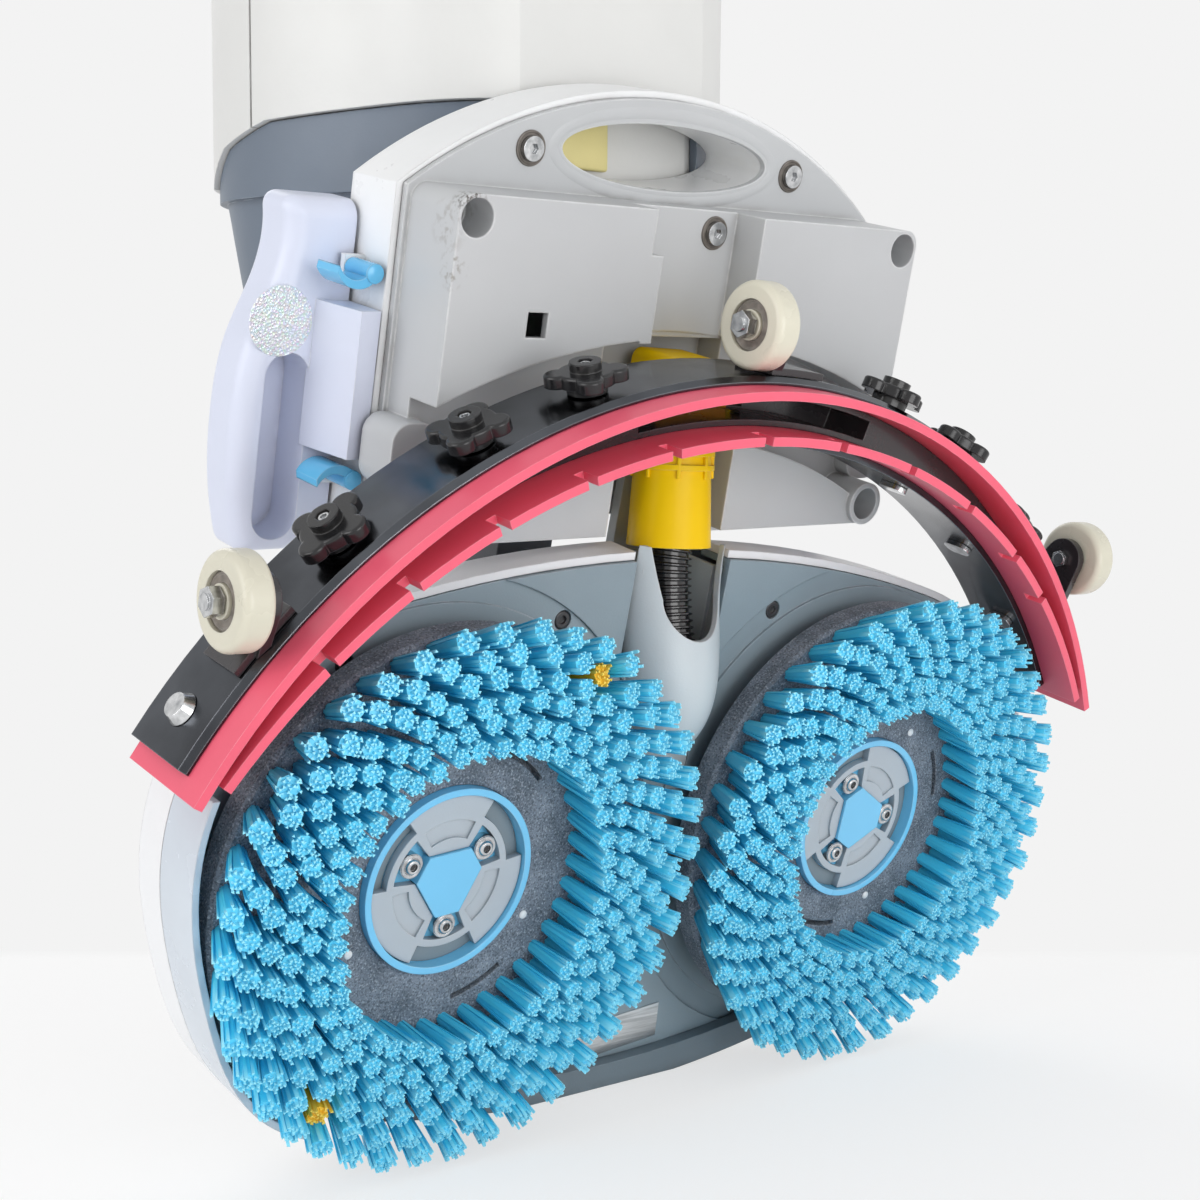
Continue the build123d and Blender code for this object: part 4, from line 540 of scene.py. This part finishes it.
hose_black = moulded("hose_black", tint(22, 22, 25), 0.2, clouds=0.15, grain=0.00001, soft=0.0003,
                     edge_wear_and_highlight=tint(66, 66, 70), crevice_dirt_and_shade=tint(60, 57, 53), crevice_dirt_and_shade_share=0.2, reach=0.003, coat=0.5)
piece("ribbed_hose", hose_bm, hose_black, "deck", "hose_black", "suction_hose")

# Squeegee: crescent body in black nylon between two polished dark straps that clamp the
# blades of pink polyurethane. Brackets for the castors are bent from the same sheet.
squeegee_black = moulded("squeegee_black", tint(44, 41, 44), 0.26, clouds=0.2, grain=0.00002,
                         edge_wear_and_highlight=tint(120, 116, 120), edge_wear_and_highlight_share=0.4, crevice_dirt_and_shade=tint(80, 72, 70), crevice_dirt_and_shade_share=0.35,
                         coat=0.3)
strap = Finish("strap_polished", 0.16, metallic=1.0)
strap_tone = strap.mix(strap.span(strap.noise(0.05, 5.0), 0.35, 0.65), tint(66, 68, 72), tint(92, 95, 100))
# The pale tone laid along every strap edge is a painted highlight.
strap_normal, strap_edge_highlight = strap.edges(0.0006)
strap_tone = strap.mix(strap.math("MULTIPLY", strap_edge_highlight, 0.5), strap_tone, tint(186, 188, 194))
strap.feed(strap_tone, strap.shader.inputs["Base Color"])
strap.feed(strap_normal, strap.shader.inputs["Normal"])
strap.feed(strap.span(strap.noise(0.02, 6.0), 0.3, 0.7, 0.12, 0.26), strap.shader.inputs["Roughness"])
# The blades' evenly lightened edges are a painted highlight, and their darker pink in crevices is painted
# shade.
blade_pink = moulded("blade_pink", tint(242, 98, 122), 0.36, clouds=0.05, grain=0.00003, soft=0.0006,
                     edge_wear_and_highlight=tint(255, 158, 172), edge_wear_and_highlight_share=0.8, even=0.5, crevice_dirt_and_shade=tint(168, 44, 70),
                     crevice_dirt_and_shade_share=0.4)
dress(squeegee_black, "squeegee_body", "wheel_brackets")
dress(strap.material, "rear_strap", "front_strap")
dress(blade_pink, "rear_blade", "front_blade")

# Suction cuff: bright yellow soft moulding pushed over the squeegee's port, ribbed for the
# fingers between its two bead rings. An amber patch inside the suction slot paints its shaded bore.
# The cuff's evenly lightened edges are a painted highlight, and its darker yellow in crevices is painted
# shade.
cuff_yellow = moulded("cuff_yellow", tint(255, 208, 0), 0.36, clouds=0.04, grain=0.00002,
                      edge_wear_and_highlight=tint(254, 228, 110), even=0.5, crevice_dirt_and_shade=tint(176, 124, 10), crevice_dirt_and_shade_share=0.4)
cuff_yellow.node_tree.nodes["Principled BSDF"].inputs["Specular IOR Level"].default_value = 0.2
dress(cuff_yellow, "suction_cuff")
CUFF_LEAN = math.radians(11)
cuff_run = REARWARD * math.cos(CUFF_LEAN) - FLOORWARD * math.sin(CUFF_LEAN)
CUFF = frame_of(DECK @ Vector((0, 0.125, -0.038)), ACROSS, cuff_run.cross(ACROSS), cuff_run)
cuff_ribs = bmesh.new()
for k in range(8):
    swing = Matrix.Rotation(math.radians(45 * k + 12), 4, "Z")
    block(cuff_ribs, CUFF @ swing @ Matrix.Translation((0.0171, 0, 0.0370)), (0.0022, 0.0017, 0.0150), 0.0004)
piece("cuff_ribs", cuff_ribs, cuff_yellow, "squeegee", "cuff_yellow")
# Port patch: a darker amber copy of the cuff's yellow, laid in the suction slot as painted shade of the
# cuff's bore.
cuff_bore_shade = moulded("port_bore_shade", tint(196, 128, 18), 0.3, clouds=0.2, grain=0.00002, crevice_dirt_and_shade=tint(70, 38, 14))
port_shade_patch = bmesh.new()
block(port_shade_patch, DECK @ Matrix.Translation((-0.018, 0.1925, -0.0212)), (0.040, 0.006, 0.0014), 0.0004)
piece("port_shade_patch", port_shade_patch, cuff_bore_shade, "squeegee", "cuff_yellow")

# Swing arm: flat moulded bar behind the cuff, on a pin in the middle of the deck.
arm_grey = moulded("arm_grey", tint(176, 180, 182), 0.42, clouds=0.06, edge_wear_and_highlight=tint(216, 218, 220),
                   crevice_dirt_and_shade=tint(88, 84, 78), crevice_dirt_and_shade_share=0.7)
dress(arm_grey, "swing_arm")

# Castors: cream polyurethane guide wheels at both ends and in the middle of the squeegee,
# turned on a plain bolt.
castor_cream = moulded("castor_cream", tint(218, 214, 196), 0.28, clouds=0.05, grain=0.00003,
                       edge_wear_and_highlight=tint(248, 244, 232), crevice_dirt_and_shade=tint(120, 106, 82), crevice_dirt_and_shade_share=0.7)
dress(castor_cream, "wheel_left", "wheel_middle", "wheel_right")
bearing_steel = moulded("bearing_steel", tint(132, 124, 116), 0.34, clouds=0.25, patch=0.004, grain=0.00002,
                        edge_wear_and_highlight=tint(206, 202, 196), crevice_dirt_and_shade=tint(60, 52, 44), crevice_dirt_and_shade_share=0.7)
for name, side in (("left", -1), ("middle", -1), ("right", 1)):
    middle = Vector(joint[f"wheel_{name}_roll"]["pos_m"]) + Vector((side * 0.00625, 0, 0))
    face = Matrix.Translation(middle) @ Matrix.Rotation(side * math.pi / 2, 4, "Y")
    bearing = bmesh.new()
    turned(bearing, face, ((0.0063, -0.0029), (0.0063, -0.0014), (0.0071, -0.0018), (0.0091, -0.0018),
                           (0.0096, -0.0014), (0.0103, -0.0014), (0.0103, -0.0029)), 40, ring=True)
    piece(f"bearing_{name}", bearing, bearing_steel, f"wheel_{name}", "screw_steel")

# Hand knobs: six four-lobed knobs in black phenolic that draw the straps against the blades.
knob_black = moulded("knob_black", tint(28, 28, 30), 0.2, clouds=0.15, grain=0.00002,
                     edge_wear_and_highlight=tint(96, 96, 98), edge_wear_and_highlight_share=0.4, crevice_dirt_and_shade=tint(90, 86, 80), crevice_dirt_and_shade_share=0.3)
dress(knob_black, *[f"knob_{k}" for k in range(1, 7)])
for k in range(1, 7):
    out = Vector(joint[f"knob_{k}_turn"]["axis"])
    place = Matrix.Translation(Vector(joint[f"knob_{k}_turn"]["pos_m"]) + out * 0.0064)
    stud = bmesh.new()
    turned(stud, place @ out.to_track_quat("Z", "Y").to_matrix().to_4x4(),
           ((0.0024, 0), (0.0024, 0.0026), (0.0021, 0.0030), (0.0013, 0.0030), (0.0011, 0.0014),
            (0, 0.0012)), 20)
    piece(f"knob_stud_{k}", stud, screw_steel, f"knob_{k}", "screw_steel")

# Transport wheels: solid rubber wheels on one axle behind the deck.
tyre_rubber = moulded("tyre_rubber", tint(46, 47, 50), 0.62, clouds=0.12, grain=0.00012,
                      edge_wear_and_highlight=tint(100, 100, 102), crevice_dirt_and_shade=tint(110, 104, 96), crevice_dirt_and_shade_share=0.35)
dress(tyre_rubber, "transport_wheels")
axle = Vector(joint["transport_wheels_roll"]["pos_m"])
hub_caps = bmesh.new()
for side in (-1, 1):
    outer_face = Matrix.Translation(axle + Vector((side * 0.097, 0, 0)))
    face = outer_face @ Matrix.Rotation(side * math.pi / 2, 4, "Y")
    turned(hub_caps, face, ((0.019, 0), (0.019, 0.0012), (0.0165, 0.0026), (0.009, 0.0026), (0.008, 0.0036),
                            (0, 0.0038)), 40)
piece("hub_caps", hub_caps, lock_grey, "transport_wheels", "lock_grey")

# Body: light grey rear moulding with the battery bays and the hand-hold, and a white front
# shell joined to it along a groove that holds dirt. The top left peg hole is chewed at its rim.
across_body = Vector(joint["battery_right_slide"]["axis"])
up_body = FLOORWARD.cross(across_body)
steer = Vector(joint["body_steer"]["pos_m"])
BODY = frame_of(steer - 0.070 * up_body + 0.148 * FLOORWARD, across_body, up_body, FLOORWARD)
RUST = tint(104, 88, 66)
# The shell's near-white lines along every edge are a painted highlight; its brown corner soil and the scuffs
# round the top left peg hole are dirt and damage.
shell_grey = moulded("shell_grey", tint(193, 195, 197), 0.38, clouds=0.03, grain=0.00003, soft=0.0014,
                     edge_wear_and_highlight=tint(247, 248, 249), edge_wear_and_highlight_share=0.9, even=0.6, crevice_dirt_and_shade=SOIL, crevice_dirt_and_shade_share=0.6,
                     scuffs=((BODY @ Vector((-0.1365, 0.254, -0.045)), 0.016, 0.0035, 0.55, RUST),
                             (BODY @ Vector((-0.1295, 0.238, -0.0395)), 0.010, 0.003, 0.6, RUST),
                             (BODY @ Vector((-0.123, 0.2655, -0.0395)), 0.009, 0.0016, 0.9, tint(70, 62, 52)),
                             (BODY @ Vector((-0.118, 0.2575, -0.055)), 0.009, 0.004, 0.8, tint(92, 80, 64))))
front_white = moulded("front_white", tint(243, 244, 245), 0.32, clouds=0.025, grain=0.00003, soft=0.0014,
                      edge_wear_and_highlight=tint(250, 250, 250), crevice_dirt_and_shade=SOIL, crevice_dirt_and_shade_share=0.55)
dress(shell_grey, "rear_shell")
dress(front_white, "front_shell")

# Hand-hold lip: the rolled rim of the oval hole, part of the panel's moulding.
hold_lip = bmesh.new()
rim = bmesh.ops.create_circle(hold_lip, cap_ends=False, segments=96, radius=1.0)["verts"]
loop = list({e for v in rim for e in v.link_edges})
HOLD_RISE = 0.2848
HOLD_HALF = 0.0568
HOLD_THIN = 0.0133
HOLD_LIP = ((0.0, -0.0752), (0.0002, -0.0742), (0.0010, -0.0732), (0.0024, -0.0725), (0.0042, -0.07225),
            (0.0062, -0.0723), (0.0072, -0.0726))
oval = Matrix.Translation((0, HOLD_RISE, HOLD_LIP[0][1])) @ Matrix.Diagonal((HOLD_HALF, HOLD_THIN, 1, 1))
bmesh.ops.transform(hold_lip, verts=rim, matrix=oval)
for (was_out, was_level), (out, level) in zip(HOLD_LIP, HOLD_LIP[1:]):
    grown = bmesh.ops.extrude_edge_only(hold_lip, edges=loop)["geom"]
    rim = [g for g in grown if isinstance(g, bmesh.types.BMVert)]
    loop = [g for g in grown if isinstance(g, bmesh.types.BMEdge) and all(v in rim for v in g.verts)]
    longer = (HOLD_HALF + out) / (HOLD_HALF + was_out)
    higher = (HOLD_THIN + out) / (HOLD_THIN + was_out)
    wider = Matrix.Diagonal((longer, higher, 1, 1))
    centre = Matrix.Translation((0, HOLD_RISE, 0))
    step = Matrix.Translation((0, 0, level - was_level))
    bmesh.ops.transform(hold_lip, verts=rim, matrix=step @ centre @ wider @ centre.inverted())
bmesh.ops.recalc_face_normals(hold_lip, faces=hold_lip.faces)
if sum(f.normal.z * f.calc_area() for f in hold_lip.faces) < 0:
    bmesh.ops.reverse_faces(hold_lip, faces=hold_lip.faces)
bmesh.ops.transform(hold_lip, matrix=BODY, verts=hold_lip.verts)
piece("hand_hold_lip", hold_lip, shell_grey, "chassis", "shell_grey")

# Screw cups: dark rings round the three panel screws that paint the shade inside their counterbores.
cup_shade_finish = moulded("cup_shade_finish", tint(112, 106, 100), 0.5, clouds=0.25, patch=0.004, grain=0.00006,
                   crevice_dirt_and_shade=tint(54, 46, 38), crevice_dirt_and_shade_share=0.7)
screw_cup_shades = bmesh.new()
for across, rearward, level in ((-0.073, 0.283, -0.0726), (0.073, 0.283, -0.0726), (0.018, 0.257, -0.057)):
    turned(screw_cup_shades, BODY @ Matrix.Translation((across, rearward, level)),
           ((0.0051, 0), (0.0051, 0.0004), (0.0060, 0.0003), (0.0066, 0.0008), (0.0071, 0.0006),
            (0.0072, 0)), 36, ring=True)
piece("screw_cup_shades", screw_cup_shades, cup_shade_finish, "chassis", "shell_grey")

# Batteries: two lavender-white packs that slide in from the sides, each held by two blue
# snap latches.
battery_white = moulded("battery_white", tint(216, 221, 238), 0.36, clouds=0.03, grain=0.00003,
                        edge_wear_and_highlight=tint(246, 247, 252), crevice_dirt_and_shade=SOIL, crevice_dirt_and_shade_share=0.4)
# The latches' crevice darkening is painted shade in a darker blue.
latch_blue = moulded("latch_blue", tint(98, 188, 234), 0.22, clouds=0.05, grain=0.00001,
                     edge_wear_and_highlight=tint(190, 228, 248), crevice_dirt_and_shade=tint(44, 86, 112), coat=0.4)
dress(battery_white, "battery_left", "battery_right")
dress(latch_blue, "latch_left_top", "latch_left_bottom", "latch_right_top", "latch_right_bottom")
for side, sign in (("left", -1), ("right", 1)):
    for end, rise in (("top", 0.2295), ("bottom", 0.1477)):
        latch_cap = bmesh.new()
        turned(latch_cap, BODY @ Matrix.Translation((sign * 0.137, rise, -0.076)),
               ((0.0038, 0), (0.0038, 0.0004), (0.0032, 0.0008), (0, 0.0009)), 24)
        piece(f"latch_cap_{side}_{end}", latch_cap, latch_blue, f"latch_{side}_{end}", "latch_blue")

# Battery seal: a blank round foil disc with a glittering broken surface, stuck on the left pack.
foil_disc = Finish("foil_disc", 0.3, metallic=0.25)
flakes = foil_disc.tree.nodes.new("ShaderNodeTexVoronoi")
flakes.inputs["Scale"].default_value = 1 / 0.0011
foil_disc.feed(foil_disc.place, flakes.inputs["Vector"])
glitter = foil_disc.mix(0.82, flakes.outputs["Color"], tint(226, 233, 236))
foil_disc.feed(glitter, foil_disc.shader.inputs["Base Color"])
foil_disc.feed(foil_disc.bump(flakes.outputs["Distance"], 0.0003), foil_disc.shader.inputs["Normal"])
battery_seal = bmesh.new()
turned(battery_seal, BODY @ Matrix.Translation((-0.1633, 0.2064, -0.098)),
       ((0.014, 0), (0.0138, 0.0003), (0.012, 0.0004), (0, 0.0004)), 48)
piece("battery_seal", battery_seal, foil_disc.material, "battery_left", "battery_white")

# Tank column: blue-grey carrier that holds the two blow-moulded tanks, warm white and
# slightly waxy, closed by a lid and a blue filler cap.
# The carrier's crevice darkening is painted shade in a darker grey; the lid and its handle share it.
carrier_grey = moulded("carrier_grey", tint(108, 119, 133), 0.4, clouds=0.06, edge_wear_and_highlight=tint(190, 198, 208),
                       crevice_dirt_and_shade=tint(70, 72, 76))
tank_white = moulded("tank_white", tint(220, 220, 218), 0.38, clouds=0.03, grain=0.00006, grain_size=0.002,
                     edge_wear_and_highlight=tint(250, 250, 248), crevice_dirt_and_shade=SOIL, crevice_dirt_and_shade_share=0.4)
dress(carrier_grey, "tank_carrier", "recovery_lid")
dress(tank_white, "recovery_tank", "solution_tank")
up_column = Vector(joint["recovery_tank_lift"]["axis"])
away_column = up_column.cross(across_body)
cap_place = Vector(joint["filler_cap_turn"]["pos_m"])
COLUMN = frame_of(cap_place - 0.048 * away_column - 0.338 * up_column, across_body, away_column, up_column)
plug_yellow = moulded("plug_yellow", tint(226, 214, 150), 0.4, clouds=0.08, edge_wear_and_highlight=tint(242, 234, 190),
                      crevice_dirt_and_shade=tint(150, 136, 82), crevice_dirt_and_shade_share=0.5)
drain_plug = bmesh.new()
block(drain_plug, COLUMN @ Matrix.Translation((-0.0148, -0.1172, 0.0140)), (0.030, 0.0038, 0.0225), 0.0014)
piece("drain_plug", drain_plug, plug_yellow, "recovery_tank", "tank_white")

# Lid handle: a low finger bar moulded on the recovery tank's lid.
lid_handle = bmesh.new()
block(lid_handle, COLUMN @ Matrix.Translation((0, -0.075, 0.3480)), (0.074, 0.016, 0.0085), 0.003)
piece("lid_handle", lid_handle, carrier_grey, "recovery_lid", "carrier_grey")

# Handle: powder-coated spine tube with the grey control console and a closed rubber grip
# loop; the trigger and the round power button are blue.
# The console's crevice darkening is painted shade in a darker grey.
console_grey = moulded("console_grey", tint(92, 100, 110), 0.42, clouds=0.06, edge_wear_and_highlight=tint(160, 166, 174),
                       crevice_dirt_and_shade=tint(48, 50, 54))
grip_rubber = moulded("grip_rubber", tint(42, 43, 46), 0.6, clouds=0.1, grain=0.00015, grain_size=0.0014,
                      edge_wear_and_highlight=tint(92, 92, 94))
button_blue = moulded("button_blue", tint(70, 160, 212), 0.26, clouds=0.05, grain=0.00001, coat=0.3)
dress(console_grey, "console")
dress(grip_rubber, "handle_grip")
dress(button_blue, "trigger", "power_button")
display_glass = moulded("display_glass", tint(24, 27, 31), 0.1, clouds=0.1, grain=0.0, coat=0.8)
display = bmesh.new()
block(display, COLUMN @ Matrix.Translation((0, -0.0422, 0.659)), (0.064, 0.0012, 0.020), 0.0004)
piece("console_display", display, display_glass, "chassis", "console_grey")
lamp_green = moulded("lamp_green", tint(120, 190, 120), 0.25, grain=0.0, coat=0.4)
lamps = bmesh.new()
near_face = Matrix.Rotation(math.pi / 2, 4, "X")
for k in range(4):
    turned(lamps, COLUMN @ Matrix.Translation((-0.021 + 0.014 * k, -0.0428, 0.659)) @ near_face,
           ((0.0022, 0), (0.0020, 0.0005), (0, 0.0007)), 16)
piece("console_lamps", lamps, lamp_green, "chassis", "console_grey")

# Studio: white floor that runs back into a light grey wall tone, one broad soft lamp from the
# left, one near the viewer, weaker ones from the right and behind, and an even white surround.
WALL_TONE = tint(243, 243, 243)
EYE = (left_hub + right_hub) / 2 + Vector((-0.5526, -0.6046, 0.1467))
YAW = math.radians(-40.17)
PITCH = math.radians(2.76)
WALL_REACH = 1.121
look = Vector((-math.sin(YAW) * math.cos(PITCH), math.cos(YAW) * math.cos(PITCH), -math.sin(PITCH)))
floor_bm = bmesh.new()
bmesh.ops.create_grid(floor_bm, x_segments=1, y_segments=1, size=8.0)
floor_mesh = bpy.data.meshes.new("studio_floor")
floor_bm.to_mesh(floor_mesh)
floor_bm.free()
floor_finish = Finish("studio_floor", 0.7)
floor_finish.shader.inputs["Base Color"].default_value = tint(252, 252, 252)
away = floor_finish.tree.nodes.new("ShaderNodeVectorMath")
away.operation = "DOT_PRODUCT"
away.inputs[1].default_value = Vector((look.x, look.y, 0)).normalized()
floor_finish.feed(floor_finish.place, away.inputs[0])
reach = EYE.dot(Vector((look.x, look.y, 0)).normalized()) + WALL_REACH
far = floor_finish.span(away.outputs["Value"], reach - 0.01, reach + 0.01)
rays = floor_finish.tree.nodes.new("ShaderNodeLightPath")
shown = floor_finish.math("MAXIMUM", rays.outputs["Is Camera Ray"], rays.outputs["Is Glossy Ray"])
backdrop = floor_finish.tree.nodes.new("ShaderNodeEmission")
backdrop.inputs["Color"].default_value = WALL_TONE
blend_floor = floor_finish.tree.nodes.new("ShaderNodeMixShader")
lift = floor_finish.tree.nodes.new("ShaderNodeEmission")
blend_lift = floor_finish.tree.nodes.new("ShaderNodeMixShader")
floor_finish.feed(floor_finish.math("MULTIPLY", shown, 0.65), blend_lift.inputs[0])
floor_finish.feed(floor_finish.shader.outputs[0], blend_lift.inputs[1])
floor_finish.feed(lift.outputs[0], blend_lift.inputs[2])
floor_finish.feed(floor_finish.math("MULTIPLY", far, shown), blend_floor.inputs[0])
floor_finish.feed(blend_lift.outputs[0], blend_floor.inputs[1])
floor_finish.feed(backdrop.outputs[0], blend_floor.inputs[2])
floor_finish.feed(blend_floor.outputs[0], floor_finish.tree.nodes["Material Output"].inputs["Surface"])
floor_mesh.materials.append(floor_finish.material)
studio_floor = bpy.data.objects.new("studio_floor", floor_mesh)
bpy.context.scene.collection.objects.link(studio_floor)

world = bpy.data.worlds.new("studio")
bpy.context.scene.world = world
world.use_nodes = True
surround = world.node_tree.nodes["Background"]
surround.inputs["Color"].default_value = (1.0, 1.0, 1.0, 1.0)
surround.inputs["Strength"].default_value = 0.6
seen = world.node_tree.nodes.new("ShaderNodeBackground")
seen.inputs["Color"].default_value = WALL_TONE
path = world.node_tree.nodes.new("ShaderNodeLightPath")
either = world.node_tree.nodes.new("ShaderNodeMath")
either.operation = "MAXIMUM"
choose = world.node_tree.nodes.new("ShaderNodeMixShader")
world.node_tree.links.new(path.outputs["Is Camera Ray"], either.inputs[0])
world.node_tree.links.new(path.outputs["Is Glossy Ray"], either.inputs[1])
world.node_tree.links.new(either.outputs[0], choose.inputs[0])
world.node_tree.links.new(surround.outputs[0], choose.inputs[1])
world.node_tree.links.new(seen.outputs[0], choose.inputs[2])
world.node_tree.links.new(choose.outputs[0], world.node_tree.nodes["World Output"].inputs["Surface"])

for name, place, power, size in (
    ("key_lamp", (-2.4, 0.1, 1.0), 20.0, 1.6),
    ("front_lamp", (-0.1, -1.2, 0.2), 6.5, 0.8),
    ("fill_lamp", (1.6, -1.8, 1.0), 3.0, 1.4),
    ("back_lamp", (0.6, 1.9, 1.8), 12.0, 1.4),
):
    lamp = bpy.data.lights.new(name, "AREA")
    lamp.energy = power
    lamp.size = size
    stand = bpy.data.objects.new(name, lamp)
    stand.location = place
    stand.visible_camera = False
    stand.rotation_euler = (Vector((0, 0, 0.3)) - Vector(place)).to_track_quat("-Z", "Y").to_euler()
    bpy.context.scene.collection.objects.link(stand)

camera = bpy.data.cameras.new("camera")
camera.lens = 57.165
camera.sensor_width = 36.0
viewer = bpy.data.objects.new("camera", camera)
viewer.location = EYE
viewer.rotation_euler = look.to_track_quat("-Z", "Y").to_euler()
bpy.context.scene.collection.objects.link(viewer)
bpy.context.scene.camera = viewer
bpy.context.scene.view_settings.view_transform = "Standard"

bpy.context.view_layer.update()
